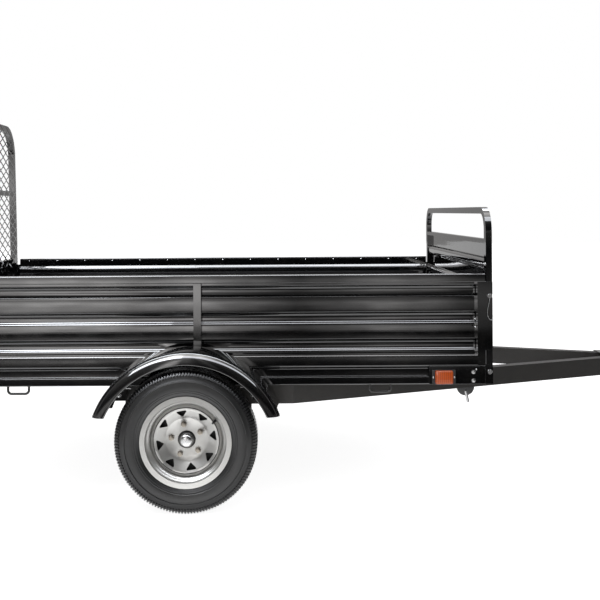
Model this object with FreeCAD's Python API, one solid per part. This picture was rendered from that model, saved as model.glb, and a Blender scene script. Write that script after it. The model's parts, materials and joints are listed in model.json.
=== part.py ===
import FreeCAD, Part
import math
import os

from FreeCAD import Vector

# A small steel utility trailer with a ramp gate behind and a low fold-down gate in front.
# It stands level on its two wheels and on the foot of its tongue jack.
# Sizes are in millimetres. +X points forward to the coupler, +Y to the left and +Z up.
# Stations along X are counted from the wheel axis. At the end all pieces are shifted
# together, so that the origin is on the ground below the middle of the bounding box.

# Fits and clearances
seat_gap = 0.3
running_gap = 5.0
ear_gap = 2.0
bolt_play = 0.08
bead_gap = 1.0

# Bed: the box between the two gates
bed_front_x = 1131.0
bed_rear_x = -1030.0
side_outer_y = 781.0
side_depth = 30.0
frame_z = 437.0
side_height = 421.0
post_width = 29.0
mid_post_x = 31.0
tube_wall = 2.5

# Rolled top rail
top_rail_height = 31.0
top_rail_proud = 3.0
top_rail_end_radius = 6.0

# Corrugated sheet, one pattern for the sides and the front gate
sheet_thickness = 2.0
groove_pitch = 103.8
groove_height = 44.3
groove_depth = 12.0
groove_slope = 9.0
crisp_bend_radius = 4.0
soft_bend_radius = 12.0

# Side sheets, which line the inside of the posts and rails
first_groove_drop = 42.0
sheet_top_drop = 8.0
sheet_bottom_lap = 35.0
sheet_end_inset = 2.0

# Bottom rail
bottom_rail_height = 112.0
bottom_rail_top_slope = 3.0
bottom_groove_low = 28.0
bottom_groove_height = 42.0

# Floor and cross members
crossmember_height = 51.0
crossmember_width = 40.0
crossmember_wall = 3.0
crossmember_count = 5
sill_width = 50.0
floor_thickness = 2.0

# Tongue beams
beam_height = 76.0
beam_width = 50.0
beam_wall = 3.5
beam_outer_y = 750.0
beam_rear_x = -250.0
beam_angle = 24.3
beam_apex_x = 2058.0
beam_tip_flat = 8.0

# Coupler
coupler_plate = 5.0
coupler_rear_x = 1820.0
coupler_side_x = 1905.0
ball_x = 2130.0
socket_radius = 25.7
socket_wall = 10.0
socket_bottom_z = 392.0
socket_depth = 36.0
neck_chamfer = 14.0
plate_lap = 10.0
latch_thickness = 4.0
latch_length = 120.0
latch_width = 24.0
latch_rise = 26.0
latch_setback = 30.0
latch_lug = 28.0
latch_pin_radius = 4.0
latch_handle = 30.0

# Tongue jack
jack_x = 1870.0
jack_radius = 25.4
jack_wall = 3.0
jack_bottom_z = 262.0
jack_top_z = 700.0
jack_flange_radius = 50.0
jack_flange_thickness = 6.0
jack_cap_radius = 31.0
jack_cap_height = 34.0
jack_cap_dome = 12.0
leg_wall = 3.0
leg_top_z = 420.0
foot_radius = 54.0
foot_thickness = 5.0
foot_boss_radius = 40.0
foot_boss_height = 16.0
crank_radius = 6.0
crank_reach = 120.0
crank_rise = 26.0
crank_knob_radius = 11.0
crank_knob_length = 62.0

# Wheels
tyre_radius = 262.0
tyre_width = 140.0
tread_width = 96.0
tyre_wall = 9.0
wheel_y = 910.0
rim_flange_radius = 168.0
rim_seat_radius = 152.5
rim_width = 120.0
rim_thickness = 3.0
rim_drop_radius = 137.0
rim_outer_seat = 20.0
rim_inner_seat = 32.0
rim_well_slope = 10.0
disc_thickness = 4.0
disc_bore_radius = 33.0
disc_dish = 24.0
disc_crown_radius = 119.0
disc_flat_margin = 20.0
disc_step_margin = 6.0
disc_edge_margin = 9.0
disc_edge_drop = 4.0
disc_weld_offset = 8.0
window_count = 8
window_base_radius = 110.0
window_apex_radius = 84.0
window_base = 46.0
window_corner_radius = 4.0
window_phase = 99.5
lug_circle_radius = 57.15
lug_count = 5
lug_phase = 100.6
stud_radius = 6.0
nut_flats = 19.0
nut_height = 16.0

# Hub and axle
hub_flange_radius = 72.0
hub_flange_thickness = 12.0
hub_barrel_radius = 36.0
hub_inner_depth = 80.0
cap_radius = 24.5
cap_length = 34.0
cap_dome = 12.0
spindle_radius = 12.7
axle_radius = 25.4

# Leaf springs
spring_y = 725.0
leaf_width = 45.0
leaf_thickness = 7.0
main_leaf_half = 210.0
second_leaf_half = 150.0
third_leaf_half = 85.0
eye_radius = 13.0
eye_bolt_radius = 6.0
eye_drop = 18.0
pad_thickness = 3.0
pad_length = 64.0
hanger_plate = 5.0
hanger_width = 50.0

# U-bolts that hold each spring on the axle, and the plate that they draw down
ubolt_radius = 5.0
ubolt_bite = 0.5
ubolt_side_gap = 1.0
ubolt_thread = 16.0
tie_plate_thickness = 8.0
tie_plate_margin = 6.0

# Fenders
fender_outer_y = 980.0
fender_radius = 372.0
fender_clearance = 65.0
fender_end_z = 353.0
fender_lip = 44.0
fender_corner_radius = 42.0
fender_thickness = 2.0
brace_thickness = 4.0
brace_bottom_z = 381.0
brace_inset = 132.0
brace_flat = 45.0
brace_slant = 11.0
brace_strap = 42.0

# Front gate
front_gate_thickness = 24.0
front_gate_post = 36.0
front_gate_top_z = 1113.0
front_gate_bar = 26.0
front_gate_radius = 100.0
front_gate_rung_z = 972.0
front_gate_rung = 17.0
front_gate_sheet_z = 500.0
front_pivot_z = 484.0
lock_pin_z = 773.0
pin_radius = 6.0
pin_head_radius = 9.0
pin_head_length = 7.0
lock_slot_play = 1.0

# Ears that the gates turn in and lock to
ear_thickness = 3.0
ear_low_top_z = 512.0
ear_high_bottom_z = 565.0
ear_corner_radius = 12.0

# Ramp gate
ramp_tube = 30.0
ramp_pivot_z = 460.0
ramp_gap = 12.0
ramp_top_z = 1553.0
ramp_radius = 150.0
ramp_rung_z = 1204.0
ramp_rung = 24.0
ramp_sheet_top_z = 858.0
ramp_sheet_rail = 20.0
ramp_lean = 1.0

# Expanded metal of the ramp gate: two crossed layers of slanting strands
mesh_diamond_width = 101.6
mesh_diamond_height = 47.0
strand_width = 4.5
mesh_thickness = 3.4
mesh_edge = 6.0
mesh_margin = 3.0

# Lamps, lugs and loops
lamp_plate_length = 216.0
lamp_plate_thickness = 2.0
marker_lamp_setback = 159.5
marker_lamp_length = 71.0
marker_lamp_height = 55.0
marker_lamp_depth = 20.0
lamp_corner_radius = 6.0
tail_lamp_y = 700.0
tail_lamp_width = 116.0
tail_lamp_height = 72.0
tail_lamp_depth = 45.0
tail_lamp_setback = 12.0
loop_rod_radius = 4.0
loop_width = 88.0
loop_drop = 33.0
loop_bend_radius = 14.0
rear_loop_setback = 373.0
front_loop_setback = 401.0
lug_plate = 6.0
lug_radius = 37.0
lug_setback = 7.0
lug_pin_radius = 4.0
lug_pin_length = 54.0
lug_pin_tilt = 12.0

# Wire lanyard of each front lock pin
lanyard_radius = 1.0
lanyard_arc_share = 0.45

# Places worked out from the sizes above
side_inner_y = side_outer_y - side_depth
side_top_z = frame_z + side_height
top_rail_z = side_top_z - top_rail_height
bottom_rail_top_z = frame_z + bottom_rail_height
floor_z = frame_z + crossmember_height
lamp_plate_rear_x = bed_front_x - lamp_plate_length
marker_lamp_x = bed_front_x - marker_lamp_setback
loop_stations = (bed_rear_x + rear_loop_setback, bed_front_x - front_loop_setback)
lug_x = bed_front_x - lug_setback
leaf_halves = (main_leaf_half, second_leaf_half, third_leaf_half)
beam_z = frame_z - beam_height
axle_z = tyre_radius
fender_centre_z = axle_z + tyre_radius + fender_clearance - fender_radius
front_gate_x = bed_front_x + running_gap
front_pivot_x = front_gate_x + front_gate_thickness / 2
front_gate_face_x = front_gate_x + front_gate_thickness
gate_outer_y = side_outer_y - ear_thickness - ear_gap
ramp_face_x = bed_rear_x - ramp_gap
ramp_pivot_x = ramp_face_x - ramp_tube / 2
ramp_rear_x = ramp_face_x - ramp_tube
hub_bore_radius = spindle_radius + bolt_play
pin_bore_radius = pin_radius + bolt_play
leg_radius = jack_radius - jack_wall - seat_gap
neck_half = socket_radius + socket_wall
nose_x = ball_x + neck_half
ball_z = socket_bottom_z + socket_depth / 2
coupler_top_z = frame_z + coupler_plate
lean = math.radians(ramp_lean)
rear_end_x = (ramp_pivot_x - (ramp_top_z - ramp_pivot_z) * math.sin(lean)
              - ramp_tube / 2 * math.cos(lean))
origin_x = (nose_x + rear_end_x) / 2

Y_AXIS = Vector(0, 1, 0)
Z_AXIS = Vector(0, 0, 1)


def block(x0, x1, y0, y1, z0, z1):
    """A box between two corners."""
    return Part.makeBox(x1 - x0, y1 - y0, z1 - z0, Vector(x0, y0, z0))


def face_of(points):
    """A flat face with straight edges."""
    return Part.Face(Part.makePolygon(points + points[:1]))


def along_x(points, x0, x1):
    """A profile of (y, z) points drawn out from x0 to x1."""
    face = face_of([Vector(x0, y, z) for y, z in points])
    return face.extrude(Vector(x1 - x0, 0, 0))


def along_y(points, y0, y1):
    """A profile of (x, z) points drawn out from y0 to y1."""
    face = face_of([Vector(x, y0, z) for x, z in points])
    return face.extrude(Vector(0, y1 - y0, 0))


def along_z(points, z0, z1):
    """A plan of (x, y) points drawn out from z0 to z1."""
    face = face_of([Vector(x, y, z0) for x, y in points])
    return face.extrude(Vector(0, 0, z1 - z0))


def rod(start, end, radius):
    """A round bar between two points."""
    run = end - start
    return Part.makeCylinder(radius, run.Length, start, run)


def rod_y(x, z, y0, y1, radius):
    """A round bar across the trailer."""
    return rod(Vector(x, y0, z), Vector(x, y1, z), radius)


def fused(shapes):
    """One solid from several that touch or overlap."""
    result = shapes[0].fuse(shapes[1:]) if len(shapes) > 1 else shapes[0]
    return result.removeSplitter()


def left_and_right(shape):
    """The shape and its mirror image across the middle plane."""
    return [shape, mirrored(shape)]


def mirrored(shape):
    return shape.mirror(Vector(0, 0, 0), Y_AXIS)


def offset_corner(before, corner, after, distance):
    """A corner of a line moved sideways by a distance, mitred between its two runs."""
    runs = []
    for start, end in ((before, corner), (corner, after)):
        if start is not None and end is not None:
            length = math.hypot(end[0] - start[0], end[1] - start[1])
            runs.append(((end[0] - start[0]) / length, (end[1] - start[1]) / length))
    first = runs[0]
    last = runs[-1]
    normal = (-first[1] - last[1], first[0] + last[0])
    scale = 2 * distance / (normal[0] ** 2 + normal[1] ** 2)
    return (corner[0] + normal[0] * scale, corner[1] + normal[1] * scale)


def offset_line(points, distance, closed=False):
    """A line of (a, b) points moved to its left by a distance."""
    count = len(points)
    moved = []
    for index, corner in enumerate(points):
        before = points[index - 1] if index or closed else None
        after = points[(index + 1) % count] if index < count - 1 or closed else None
        moved.append(offset_corner(before, corner, after, distance))
    return moved


def strip(points, thickness):
    """The outline of a bent sheet, from the line along the middle of its thickness."""
    left = offset_line(points, thickness / 2)
    right = offset_line(points, -thickness / 2)
    return left + right[::-1]


def bent_sheet(points, thickness, place):
    """A face along a bent line of (a, b, bend radius) points; place puts a point in space."""
    sides = []
    for shift in (thickness / 2, -thickness / 2):
        edges = []
        along = None
        last = None
        for index, corner in enumerate(points):
            if index == len(points) - 1:
                end = (corner[0] - along[1] * shift, corner[1] + along[0] * shift)
                edges.append(Part.makeLine(place(*last), place(*end)))
                last = end
                continue
            after = points[index + 1]
            length = math.hypot(after[0] - corner[0], after[1] - corner[1])
            ahead = ((after[0] - corner[0]) / length, (after[1] - corner[1]) / length)
            if along is None:
                last = (corner[0] - ahead[1] * shift, corner[1] + ahead[0] * shift)
                start = last
                along = ahead
                continue
            turn = math.atan2(along[0] * ahead[1] - along[1] * ahead[0],
                              along[0] * ahead[0] + along[1] * ahead[1])
            side = math.copysign(1, turn)
            bend_radius = corner[2]
            back = bend_radius * math.tan(abs(turn) / 2)
            enter = (corner[0] - along[0] * back - along[1] * shift,
                     corner[1] - along[1] * back + along[0] * shift)
            leave = (corner[0] + ahead[0] * back - ahead[1] * shift,
                     corner[1] + ahead[1] * back + ahead[0] * shift)
            inward = (ahead[0] - along[0], ahead[1] - along[1])
            scale = 1 / math.hypot(*inward)
            reach = bend_radius / math.cos(turn / 2) - bend_radius + side * shift
            middle = (corner[0] + inward[0] * scale * reach, corner[1] + inward[1] * scale * reach)
            edges.append(Part.makeLine(place(*last), place(*enter)))
            edges.append(Part.Arc(place(*enter), place(*middle), place(*leave)).toShape())
            last = leave
            along = ahead
        sides.append((start, edges, last))
    (left_start, left, left_end), (right_start, right, right_end) = sides
    ends = [Part.makeLine(place(*left_end), place(*right_end)),
            Part.makeLine(place(*right_start), place(*left_start))]
    return Part.Face(Part.Wire(left + ends[:1] + right[::-1] + ends[1:]))


def arch_face(x, half_width, z0, z1, radius):
    """An upright face across the trailer with its two upper corners rounded."""
    foot_left = Vector(x, half_width, z0)
    foot_right = Vector(x, -half_width, z0)
    bend_left = Vector(x, half_width, z1 - radius)
    bend_right = Vector(x, -half_width, z1 - radius)
    top_left = Vector(x, half_width - radius, z1)
    top_right = Vector(x, radius - half_width, z1)
    lift = radius * math.sin(math.pi / 4)
    mid_left = Vector(x, half_width - radius + lift, z1 - radius + lift)
    mid_right = Vector(x, radius - half_width - lift, z1 - radius + lift)
    edges = [
        Part.makeLine(foot_right, foot_left),
        Part.makeLine(foot_left, bend_left),
        Part.Arc(bend_left, mid_left, top_left).toShape(),
        Part.makeLine(top_left, top_right),
        Part.Arc(top_right, mid_right, bend_right).toShape(),
        Part.makeLine(bend_right, foot_right),
    ]
    return Part.Face(Part.Wire(edges))


def arch(x0, x1, half_width, z0, z1, radius):
    """An upright slab across the trailer with its two upper corners rounded."""
    return arch_face(x0, half_width, z0, z1, radius).extrude(Vector(x1 - x0, 0, 0))


def arc_band(x, z, radius, thickness, start, end, y0, y1):
    """A sheet bent round an axis across the trailer, outside radius given, angles in degrees."""
    inner = radius - thickness

    def point(r, degrees):
        angle = math.radians(degrees)
        return Vector(x + r * math.cos(angle), y0, z + r * math.sin(angle))

    middle = (start + end) / 2
    edges = [
        Part.Arc(point(radius, start), point(radius, middle), point(radius, end)).toShape(),
        Part.makeLine(point(radius, end), point(inner, end)),
        Part.Arc(point(inner, end), point(inner, middle), point(inner, start)).toShape(),
        Part.makeLine(point(inner, start), point(radius, start)),
    ]
    return Part.Face(Part.Wire(edges)).extrude(Vector(0, y1 - y0, 0))


def revolved(points, x, y, z, side):
    """A ring about an axis across the trailer, from (radius, offset) points."""
    face = face_of([Vector(x + r, y + side * w, z) for r, w in points])
    return face.revolve(Vector(x, y, z), Y_AXIS, 360)


# Corrugated sheet

def corrugation(top, bottom, first_groove_top):
    """Depth, height and bend radius of each corner of a grooved sheet, from its top to its bottom."""
    points = [(0.0, top, 0.0)]
    groove_top = first_groove_top
    while groove_top - groove_height > bottom:
        points.append((0.0, groove_top, crisp_bend_radius))
        points.append((groove_depth, groove_top - groove_slope, soft_bend_radius))
        points.append((groove_depth, groove_top - groove_height + groove_slope, soft_bend_radius))
        points.append((0.0, groove_top - groove_height, soft_bend_radius))
        groove_top -= groove_pitch
    points.append((0.0, bottom, 0.0))
    return points


def side_panel():
    """Grooved sheet of the left side, one piece that lines the inside of its posts and rails."""
    outer = side_inner_y - sheet_thickness / 2
    line = [(outer - depth, z, radius) for depth, z, radius in
            corrugation(side_top_z - sheet_top_drop, bottom_rail_top_z - sheet_bottom_lap,
                        side_top_z - first_groove_drop)]
    x0 = bed_rear_x + sheet_end_inset
    face = bent_sheet(line, sheet_thickness, lambda y, z: Vector(x0, y, z))
    return face.extrude(Vector(bed_front_x - sheet_end_inset - x0, 0, 0))


# Rails and posts

def top_rail():
    """Left top rail, a box section with its front and rear outer edges rounded."""
    outer = block(bed_rear_x, bed_front_x, side_inner_y, side_outer_y + top_rail_proud,
                  top_rail_z, side_top_z)
    corners = [edge for edge in outer.Edges
               if abs(edge.BoundBox.YMin - side_outer_y - top_rail_proud) < 0.01
               and edge.BoundBox.YLength < 0.01 and edge.BoundBox.XLength < 0.01]
    outer = outer.makeFillet(top_rail_end_radius, corners)
    hollow = block(bed_rear_x - 1, bed_front_x + 1, side_inner_y + tube_wall,
                   side_outer_y + top_rail_proud - top_rail_end_radius,
                   top_rail_z + tube_wall, side_top_z - tube_wall)
    return outer.cut(hollow)


def bottom_rail():
    """Left bottom rail between the corner posts, with one groove along its outer face."""
    groove_low_z = frame_z + bottom_groove_low
    groove_high_z = groove_low_z + bottom_groove_height
    outline = [
        (side_inner_y, frame_z),
        (side_outer_y, frame_z),
        (side_outer_y, groove_low_z),
        (side_outer_y - groove_depth, groove_low_z + groove_slope),
        (side_outer_y - groove_depth, groove_high_z - groove_slope),
        (side_outer_y, groove_high_z),
        (side_outer_y, bottom_rail_top_z - bottom_rail_top_slope),
        (side_outer_y - bottom_rail_top_slope, bottom_rail_top_z),
        (side_inner_y, bottom_rail_top_z),
    ]
    x0 = bed_rear_x + post_width
    x1 = bed_front_x - post_width
    outer = along_x(outline, x0, x1)
    hollow = along_x(offset_line(outline, tube_wall, closed=True), x0 - 1, x1 + 1)
    return outer.cut(hollow)


def upright(x0, x1, z0, z1):
    """A hollow post of the left side."""
    outer = block(x0, x1, side_inner_y, side_outer_y, z0, z1)
    hollow = block(x0 + tube_wall, x1 - tube_wall, side_inner_y + tube_wall,
                   side_outer_y - tube_wall, z0 - 1, z1 + 1)
    return outer.cut(hollow)


def ears(face_x, pivot_x, pivot_z, end_x):
    """The two plates that reach past a corner post, low for the pivot and high for the lock."""
    x0, x1 = sorted((face_x, end_x))
    y0 = side_outer_y - ear_thickness

    def rounded(plate, corner_z):
        """The plate with its free corner at that height rounded."""
        corner = [edge for edge in plate.Edges
                  if edge.BoundBox.XLength < 0.01 and edge.BoundBox.ZLength < 0.01
                  and abs(edge.BoundBox.XMin - end_x) < 0.01
                  and abs(edge.BoundBox.ZMin - corner_z) < 0.01]
        return plate.makeFillet(ear_corner_radius, corner)

    low = rounded(block(x0, x1, y0, side_outer_y, frame_z, ear_low_top_z), ear_low_top_z)
    low = low.cut(rod_y(pivot_x, pivot_z, y0 - 1, side_outer_y + 1, pin_bore_radius))
    high = block(x0, x1, y0, side_outer_y, ear_high_bottom_z, top_rail_z)
    high = rounded(high, ear_high_bottom_z)
    slot_radius = pin_radius + lock_slot_play
    beyond_x = end_x + math.copysign(1, end_x - face_x)
    slot_x0, slot_x1 = sorted((pivot_x, beyond_x))
    high = high.cut([
        rod_y(pivot_x, lock_pin_z, y0 - 1, side_outer_y + 1, slot_radius),
        block(slot_x0, slot_x1, y0 - 1, side_outer_y + 1,
              lock_pin_z - slot_radius, lock_pin_z + slot_radius),
    ])
    return [low, high]


def posts():
    """Three posts of the left side. Each corner post carries the ears of its gate."""
    front = upright(bed_front_x - post_width, bed_front_x, frame_z, top_rail_z)
    front_ears = ears(bed_front_x, front_pivot_x, front_pivot_z, front_gate_face_x)
    rear = upright(bed_rear_x, bed_rear_x + post_width, frame_z, top_rail_z)
    rear_ears = ears(bed_rear_x, ramp_pivot_x, ramp_pivot_z, ramp_rear_x)
    middle = upright(mid_post_x - post_width / 2, mid_post_x + post_width / 2,
                     bottom_rail_top_z, top_rail_z)
    return Part.makeCompound([fused([front] + front_ears), fused([rear] + rear_ears), middle])


# Floor

def channel(x0, x1):
    """A cross member: a channel lying open to the rear between the bottom rails."""
    outer = block(x0, x1, -side_inner_y, side_inner_y, frame_z, floor_z)
    hollow = block(x0 - 1, x1 - crossmember_wall, -side_inner_y - 1, side_inner_y + 1,
                   frame_z + crossmember_wall, floor_z - crossmember_wall)
    return outer.cut(hollow)


def crossmembers():
    """The cross members between the sills, evenly spaced."""
    clear = bed_front_x - bed_rear_x
    pieces = []
    for index in range(crossmember_count):
        x = bed_rear_x + clear * (index + 1) / (crossmember_count + 1)
        pieces.append(channel(x - crossmember_width / 2, x + crossmember_width / 2))
    return Part.makeCompound(pieces)


def front_sill():
    return channel(bed_front_x - sill_width, bed_front_x)


def rear_sill():
    """The rear sill is the same channel turned round, so its web faces the ramp gate."""
    middle = Vector(bed_rear_x + sill_width / 2, 0, 0)
    return channel(bed_rear_x, bed_rear_x + sill_width).mirror(middle, Vector(1, 0, 0))


def deck_floor():
    return block(bed_rear_x, bed_front_x, -side_inner_y, side_inner_y,
                 floor_z, floor_z + floor_thickness)


# Tongue

def beam_plan(outer_inset, inner_inset, rear_x, tip_y):
    """Plan of the left beam between two lines at given distances in from its outer face."""
    slope = math.tan(math.radians(beam_angle))
    stretch = 1 / math.cos(math.radians(beam_angle))

    def line(inset):
        bend_x = beam_apex_x - (beam_outer_y - inset + inset * stretch) / slope
        tip_x = beam_apex_x - (inset * stretch + tip_y) / slope
        return [(rear_x, beam_outer_y - inset), (bend_x, beam_outer_y - inset), (tip_x, tip_y)]

    return line(outer_inset) + line(inner_inset)[::-1]


def tongue_beam():
    """Left beam: straight under the bed, then bent in towards the coupler."""
    outer = along_z(beam_plan(0, beam_width, beam_rear_x, 0), beam_z, frame_z)
    hollow = along_z(beam_plan(beam_wall, beam_width - beam_wall, beam_rear_x - 1, beam_wall),
                     beam_z + beam_wall, frame_z - beam_wall)
    tip_x = beam_apex_x - beam_tip_flat / math.tan(math.radians(beam_angle))
    tip = block(tip_x, beam_apex_x + 1, -1, beam_outer_y, beam_z - 1, frame_z + 1)
    return outer.cut([hollow, tip])


def beam_face_y(x, outset):
    """Distance from the middle plane to the sloping outer face of a beam, moved outward."""
    angle = math.radians(beam_angle)
    return (beam_apex_x - x) * math.tan(angle) + outset / math.cos(angle)


def coupler():
    """A pressed coupler for two beams: top plate, side plates, a hollow neck and a domed socket."""
    angle = math.radians(beam_angle)
    neck_x = beam_apex_x - neck_half / math.tan(angle) + coupler_plate
    tip_x = beam_apex_x - beam_tip_flat / math.tan(angle)
    plan = [
        (coupler_rear_x, beam_face_y(coupler_rear_x, coupler_plate)),
        (neck_x, beam_face_y(neck_x, coupler_plate)),
        (tip_x + plate_lap, neck_half - neck_chamfer),
    ]
    plan += [(x, -y) for x, y in plan[::-1]]
    top = along_z(plan, frame_z, coupler_top_z)
    sides = []
    for sign in (1, -1):
        side = [
            (coupler_side_x, sign * beam_face_y(coupler_side_x, 0)),
            (coupler_side_x, sign * beam_face_y(coupler_side_x, coupler_plate)),
            (neck_x, sign * beam_face_y(neck_x, coupler_plate)),
            (neck_x, sign * beam_face_y(neck_x, 0)),
        ]
        sides.append(along_z(side, beam_z, frame_z))
    section = [
        (-neck_half, socket_bottom_z),
        (-neck_half, coupler_top_z - neck_chamfer),
        (neck_chamfer - neck_half, coupler_top_z),
        (neck_half - neck_chamfer, coupler_top_z),
        (neck_half, coupler_top_z - neck_chamfer),
        (neck_half, socket_bottom_z),
    ]
    neck = along_x(section, tip_x, ball_x)
    hollow = along_x(offset_line(section, -coupler_plate, closed=True),
                     tip_x + coupler_plate, ball_x - neck_half)
    hollow_foot = block(tip_x + coupler_plate, ball_x - neck_half, coupler_plate - neck_half,
                        neck_half - coupler_plate, socket_bottom_z - 1, ball_z)
    skirt = Part.makeCylinder(neck_half, ball_z - socket_bottom_z,
                              Vector(ball_x, 0, socket_bottom_z), Z_AXIS)
    dome = Part.makeSphere(neck_half, Vector(ball_x, 0, ball_z))
    low = block(ball_x - 2 * neck_half, nose_x + 1, -2 * neck_half, 2 * neck_half,
                socket_bottom_z - 2 * neck_half, socket_bottom_z)
    socket = Part.makeCylinder(socket_radius, socket_depth, Vector(ball_x, 0, socket_bottom_z), Z_AXIS)
    jack_hole = Part.makeCylinder(jack_radius + seat_gap, 3 * coupler_plate,
                                  Vector(jack_x, 0, frame_z - coupler_plate), Z_AXIS)
    body = fused([top, neck.cut([hollow, hollow_foot]), skirt, dome.cut(low)] + sides)
    return body.cut([socket, jack_hole])


def coupler_latch():
    """The latch on the coupler's neck: an upright lug, its pin and a bent lever."""
    heel_x = ball_x - latch_setback
    lever_z = coupler_top_z + latch_rise
    line = [
        (heel_x + latch_rise / 2, coupler_top_z + 2 * latch_thickness),
        (heel_x, lever_z),
        (heel_x + latch_handle - latch_length, lever_z),
        (heel_x - latch_length, lever_z + latch_handle / 2),
    ]
    lever = along_y(strip(line, latch_thickness), -latch_width / 2, latch_width / 2)
    lug = block(heel_x - latch_lug, heel_x, -latch_thickness / 2, latch_thickness / 2,
                coupler_top_z, lever_z)
    pin = rod_y(heel_x - latch_lug / 2, coupler_top_z + latch_rise / 2,
                -latch_width / 2, latch_width / 2, latch_pin_radius)
    return fused([lug, lever, pin])


# Jack

def jack_tube():
    """Outer tube of the jack with its mounting flange and closed head."""
    base = Vector(jack_x, 0, jack_bottom_z)
    outer = Part.makeCylinder(jack_radius, jack_top_z - jack_bottom_z, base, Z_AXIS)
    flange = Part.makeCylinder(jack_flange_radius, jack_flange_thickness,
                               Vector(jack_x, 0, frame_z + coupler_plate), Z_AXIS)
    cap = Part.makeCylinder(jack_cap_radius, jack_cap_height, Vector(jack_x, 0, jack_top_z), Z_AXIS)
    crown = [edge for edge in cap.Edges if edge.BoundBox.ZMin > jack_top_z + jack_cap_height / 2]
    cap = cap.makeFillet(jack_cap_dome, crown)
    bore = Part.makeCylinder(jack_radius - jack_wall, jack_top_z - jack_bottom_z, base, Z_AXIS)
    return fused([outer, flange, cap]).cut(bore)


def jack_crank():
    """Crank on the jack's head: stub, arm and an upright grip."""
    head_z = jack_top_z + jack_cap_height
    elbow = Vector(jack_x, 0, head_z + crank_rise)
    end = elbow - Y_AXIS * crank_reach
    stub = rod(Vector(jack_x, 0, head_z), elbow, crank_radius)
    arm = rod(elbow, end, crank_radius)
    grip = rod(end - Z_AXIS * crank_knob_radius, end + Z_AXIS * crank_knob_length, crank_knob_radius)
    return fused([stub, Part.makeSphere(crank_radius, elbow), arm, grip])


def jack_leg():
    """Inner tube of the jack with its round dished foot on the ground."""
    foot = Part.makeCylinder(foot_radius, foot_thickness, Vector(jack_x, 0, 0), Z_AXIS)
    tube = Part.makeCylinder(leg_radius, leg_top_z, Vector(jack_x, 0, 0), Z_AXIS)
    boss = Part.makeCone(foot_boss_radius, leg_radius, foot_boss_height,
                         Vector(jack_x, 0, foot_thickness), Z_AXIS)
    bore = Part.makeCylinder(leg_radius - leg_wall, leg_top_z, Vector(jack_x, 0, foot_thickness), Z_AXIS)
    return fused([foot, boss, tube]).cut(bore)


# Wheels, drawn for the left side with offsets counted outward from the wheel's middle plane

def tyre():
    """Tyre shell seated on the rim, with rounded shoulders and sidewalls."""
    half = tyre_width / 2
    tread = tread_width / 2
    seat = rim_seat_radius + seat_gap
    flange = rim_flange_radius + bead_gap
    bead = rim_width / 2 - rim_thickness - seat_gap
    widest = (tyre_radius + rim_seat_radius) / 2 + tyre_wall / 2
    shoulder = tyre_radius - tyre_wall

    def v(radius, offset):
        return Vector(radius, offset, 0)

    edges = [
        Part.makeLine(v(tyre_radius, -tread), v(tyre_radius, tread)),
        Part.makeLine(v(tyre_radius, tread), v(shoulder, (tread + half) / 2)),
        Part.Arc(v(shoulder, (tread + half) / 2), v(widest, half),
                 v(flange, bead)).toShape(),
        Part.makeLine(v(flange, bead), v(seat, bead)),
        Part.makeLine(v(seat, bead), v(seat, bead - 2 * tyre_wall)),
        Part.makeLine(v(seat, bead - 2 * tyre_wall), v(flange, bead - tyre_wall)),
        Part.makeLine(v(flange, bead - tyre_wall), v(widest, half - tyre_wall)),
        Part.makeLine(v(widest, half - tyre_wall), v(shoulder - tyre_wall / 2, tread)),
        Part.makeLine(v(shoulder - tyre_wall / 2, tread), v(shoulder, tread - tyre_wall)),
        Part.makeLine(v(shoulder, tread - tyre_wall), v(shoulder, tyre_wall - tread)),
        Part.makeLine(v(shoulder, tyre_wall - tread), v(shoulder - tyre_wall / 2, -tread)),
        Part.makeLine(v(shoulder - tyre_wall / 2, -tread), v(widest, tyre_wall - half)),
        Part.makeLine(v(widest, tyre_wall - half), v(flange, tyre_wall - bead)),
        Part.makeLine(v(flange, tyre_wall - bead), v(seat, 2 * tyre_wall - bead)),
        Part.makeLine(v(seat, 2 * tyre_wall - bead), v(seat, -bead)),
        Part.makeLine(v(seat, -bead), v(flange, -bead)),
        Part.Arc(v(flange, -bead), v(widest, -half),
                 v(shoulder, -(tread + half) / 2)).toShape(),
        Part.makeLine(v(shoulder, -(tread + half) / 2), v(tyre_radius, -tread)),
    ]
    ring = Part.Face(Part.Wire(edges)).revolve(Vector(0, 0, 0), Y_AXIS, 360)
    ring.translate(Vector(0, wheel_y, axle_z))
    return ring


def rim_window(index):
    """A cutter for one three-sided window of the disc, its base outward."""
    half = window_base / 2
    triangle = [Vector(window_base_radius, -rim_width, -half),
                Vector(window_base_radius, -rim_width, half),
                Vector(window_apex_radius, -rim_width, 0)]
    cutter = face_of(triangle).extrude(Vector(0, 2 * rim_width, 0))
    sides = [edge for edge in cutter.Edges if edge.BoundBox.YLength > rim_width]
    cutter = cutter.makeFillet(window_corner_radius, sides)
    cutter.rotate(Vector(0, 0, 0), Y_AXIS, -window_phase - 360.0 * index / window_count)
    cutter.translate(Vector(0, wheel_y, axle_z))
    return cutter


def lug_place(index):
    """Place of a wheel stud in the wheel's plane."""
    angle = math.radians(lug_phase + 360.0 * index / lug_count)
    return (lug_circle_radius * math.cos(angle), axle_z + lug_circle_radius * math.sin(angle))


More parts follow.
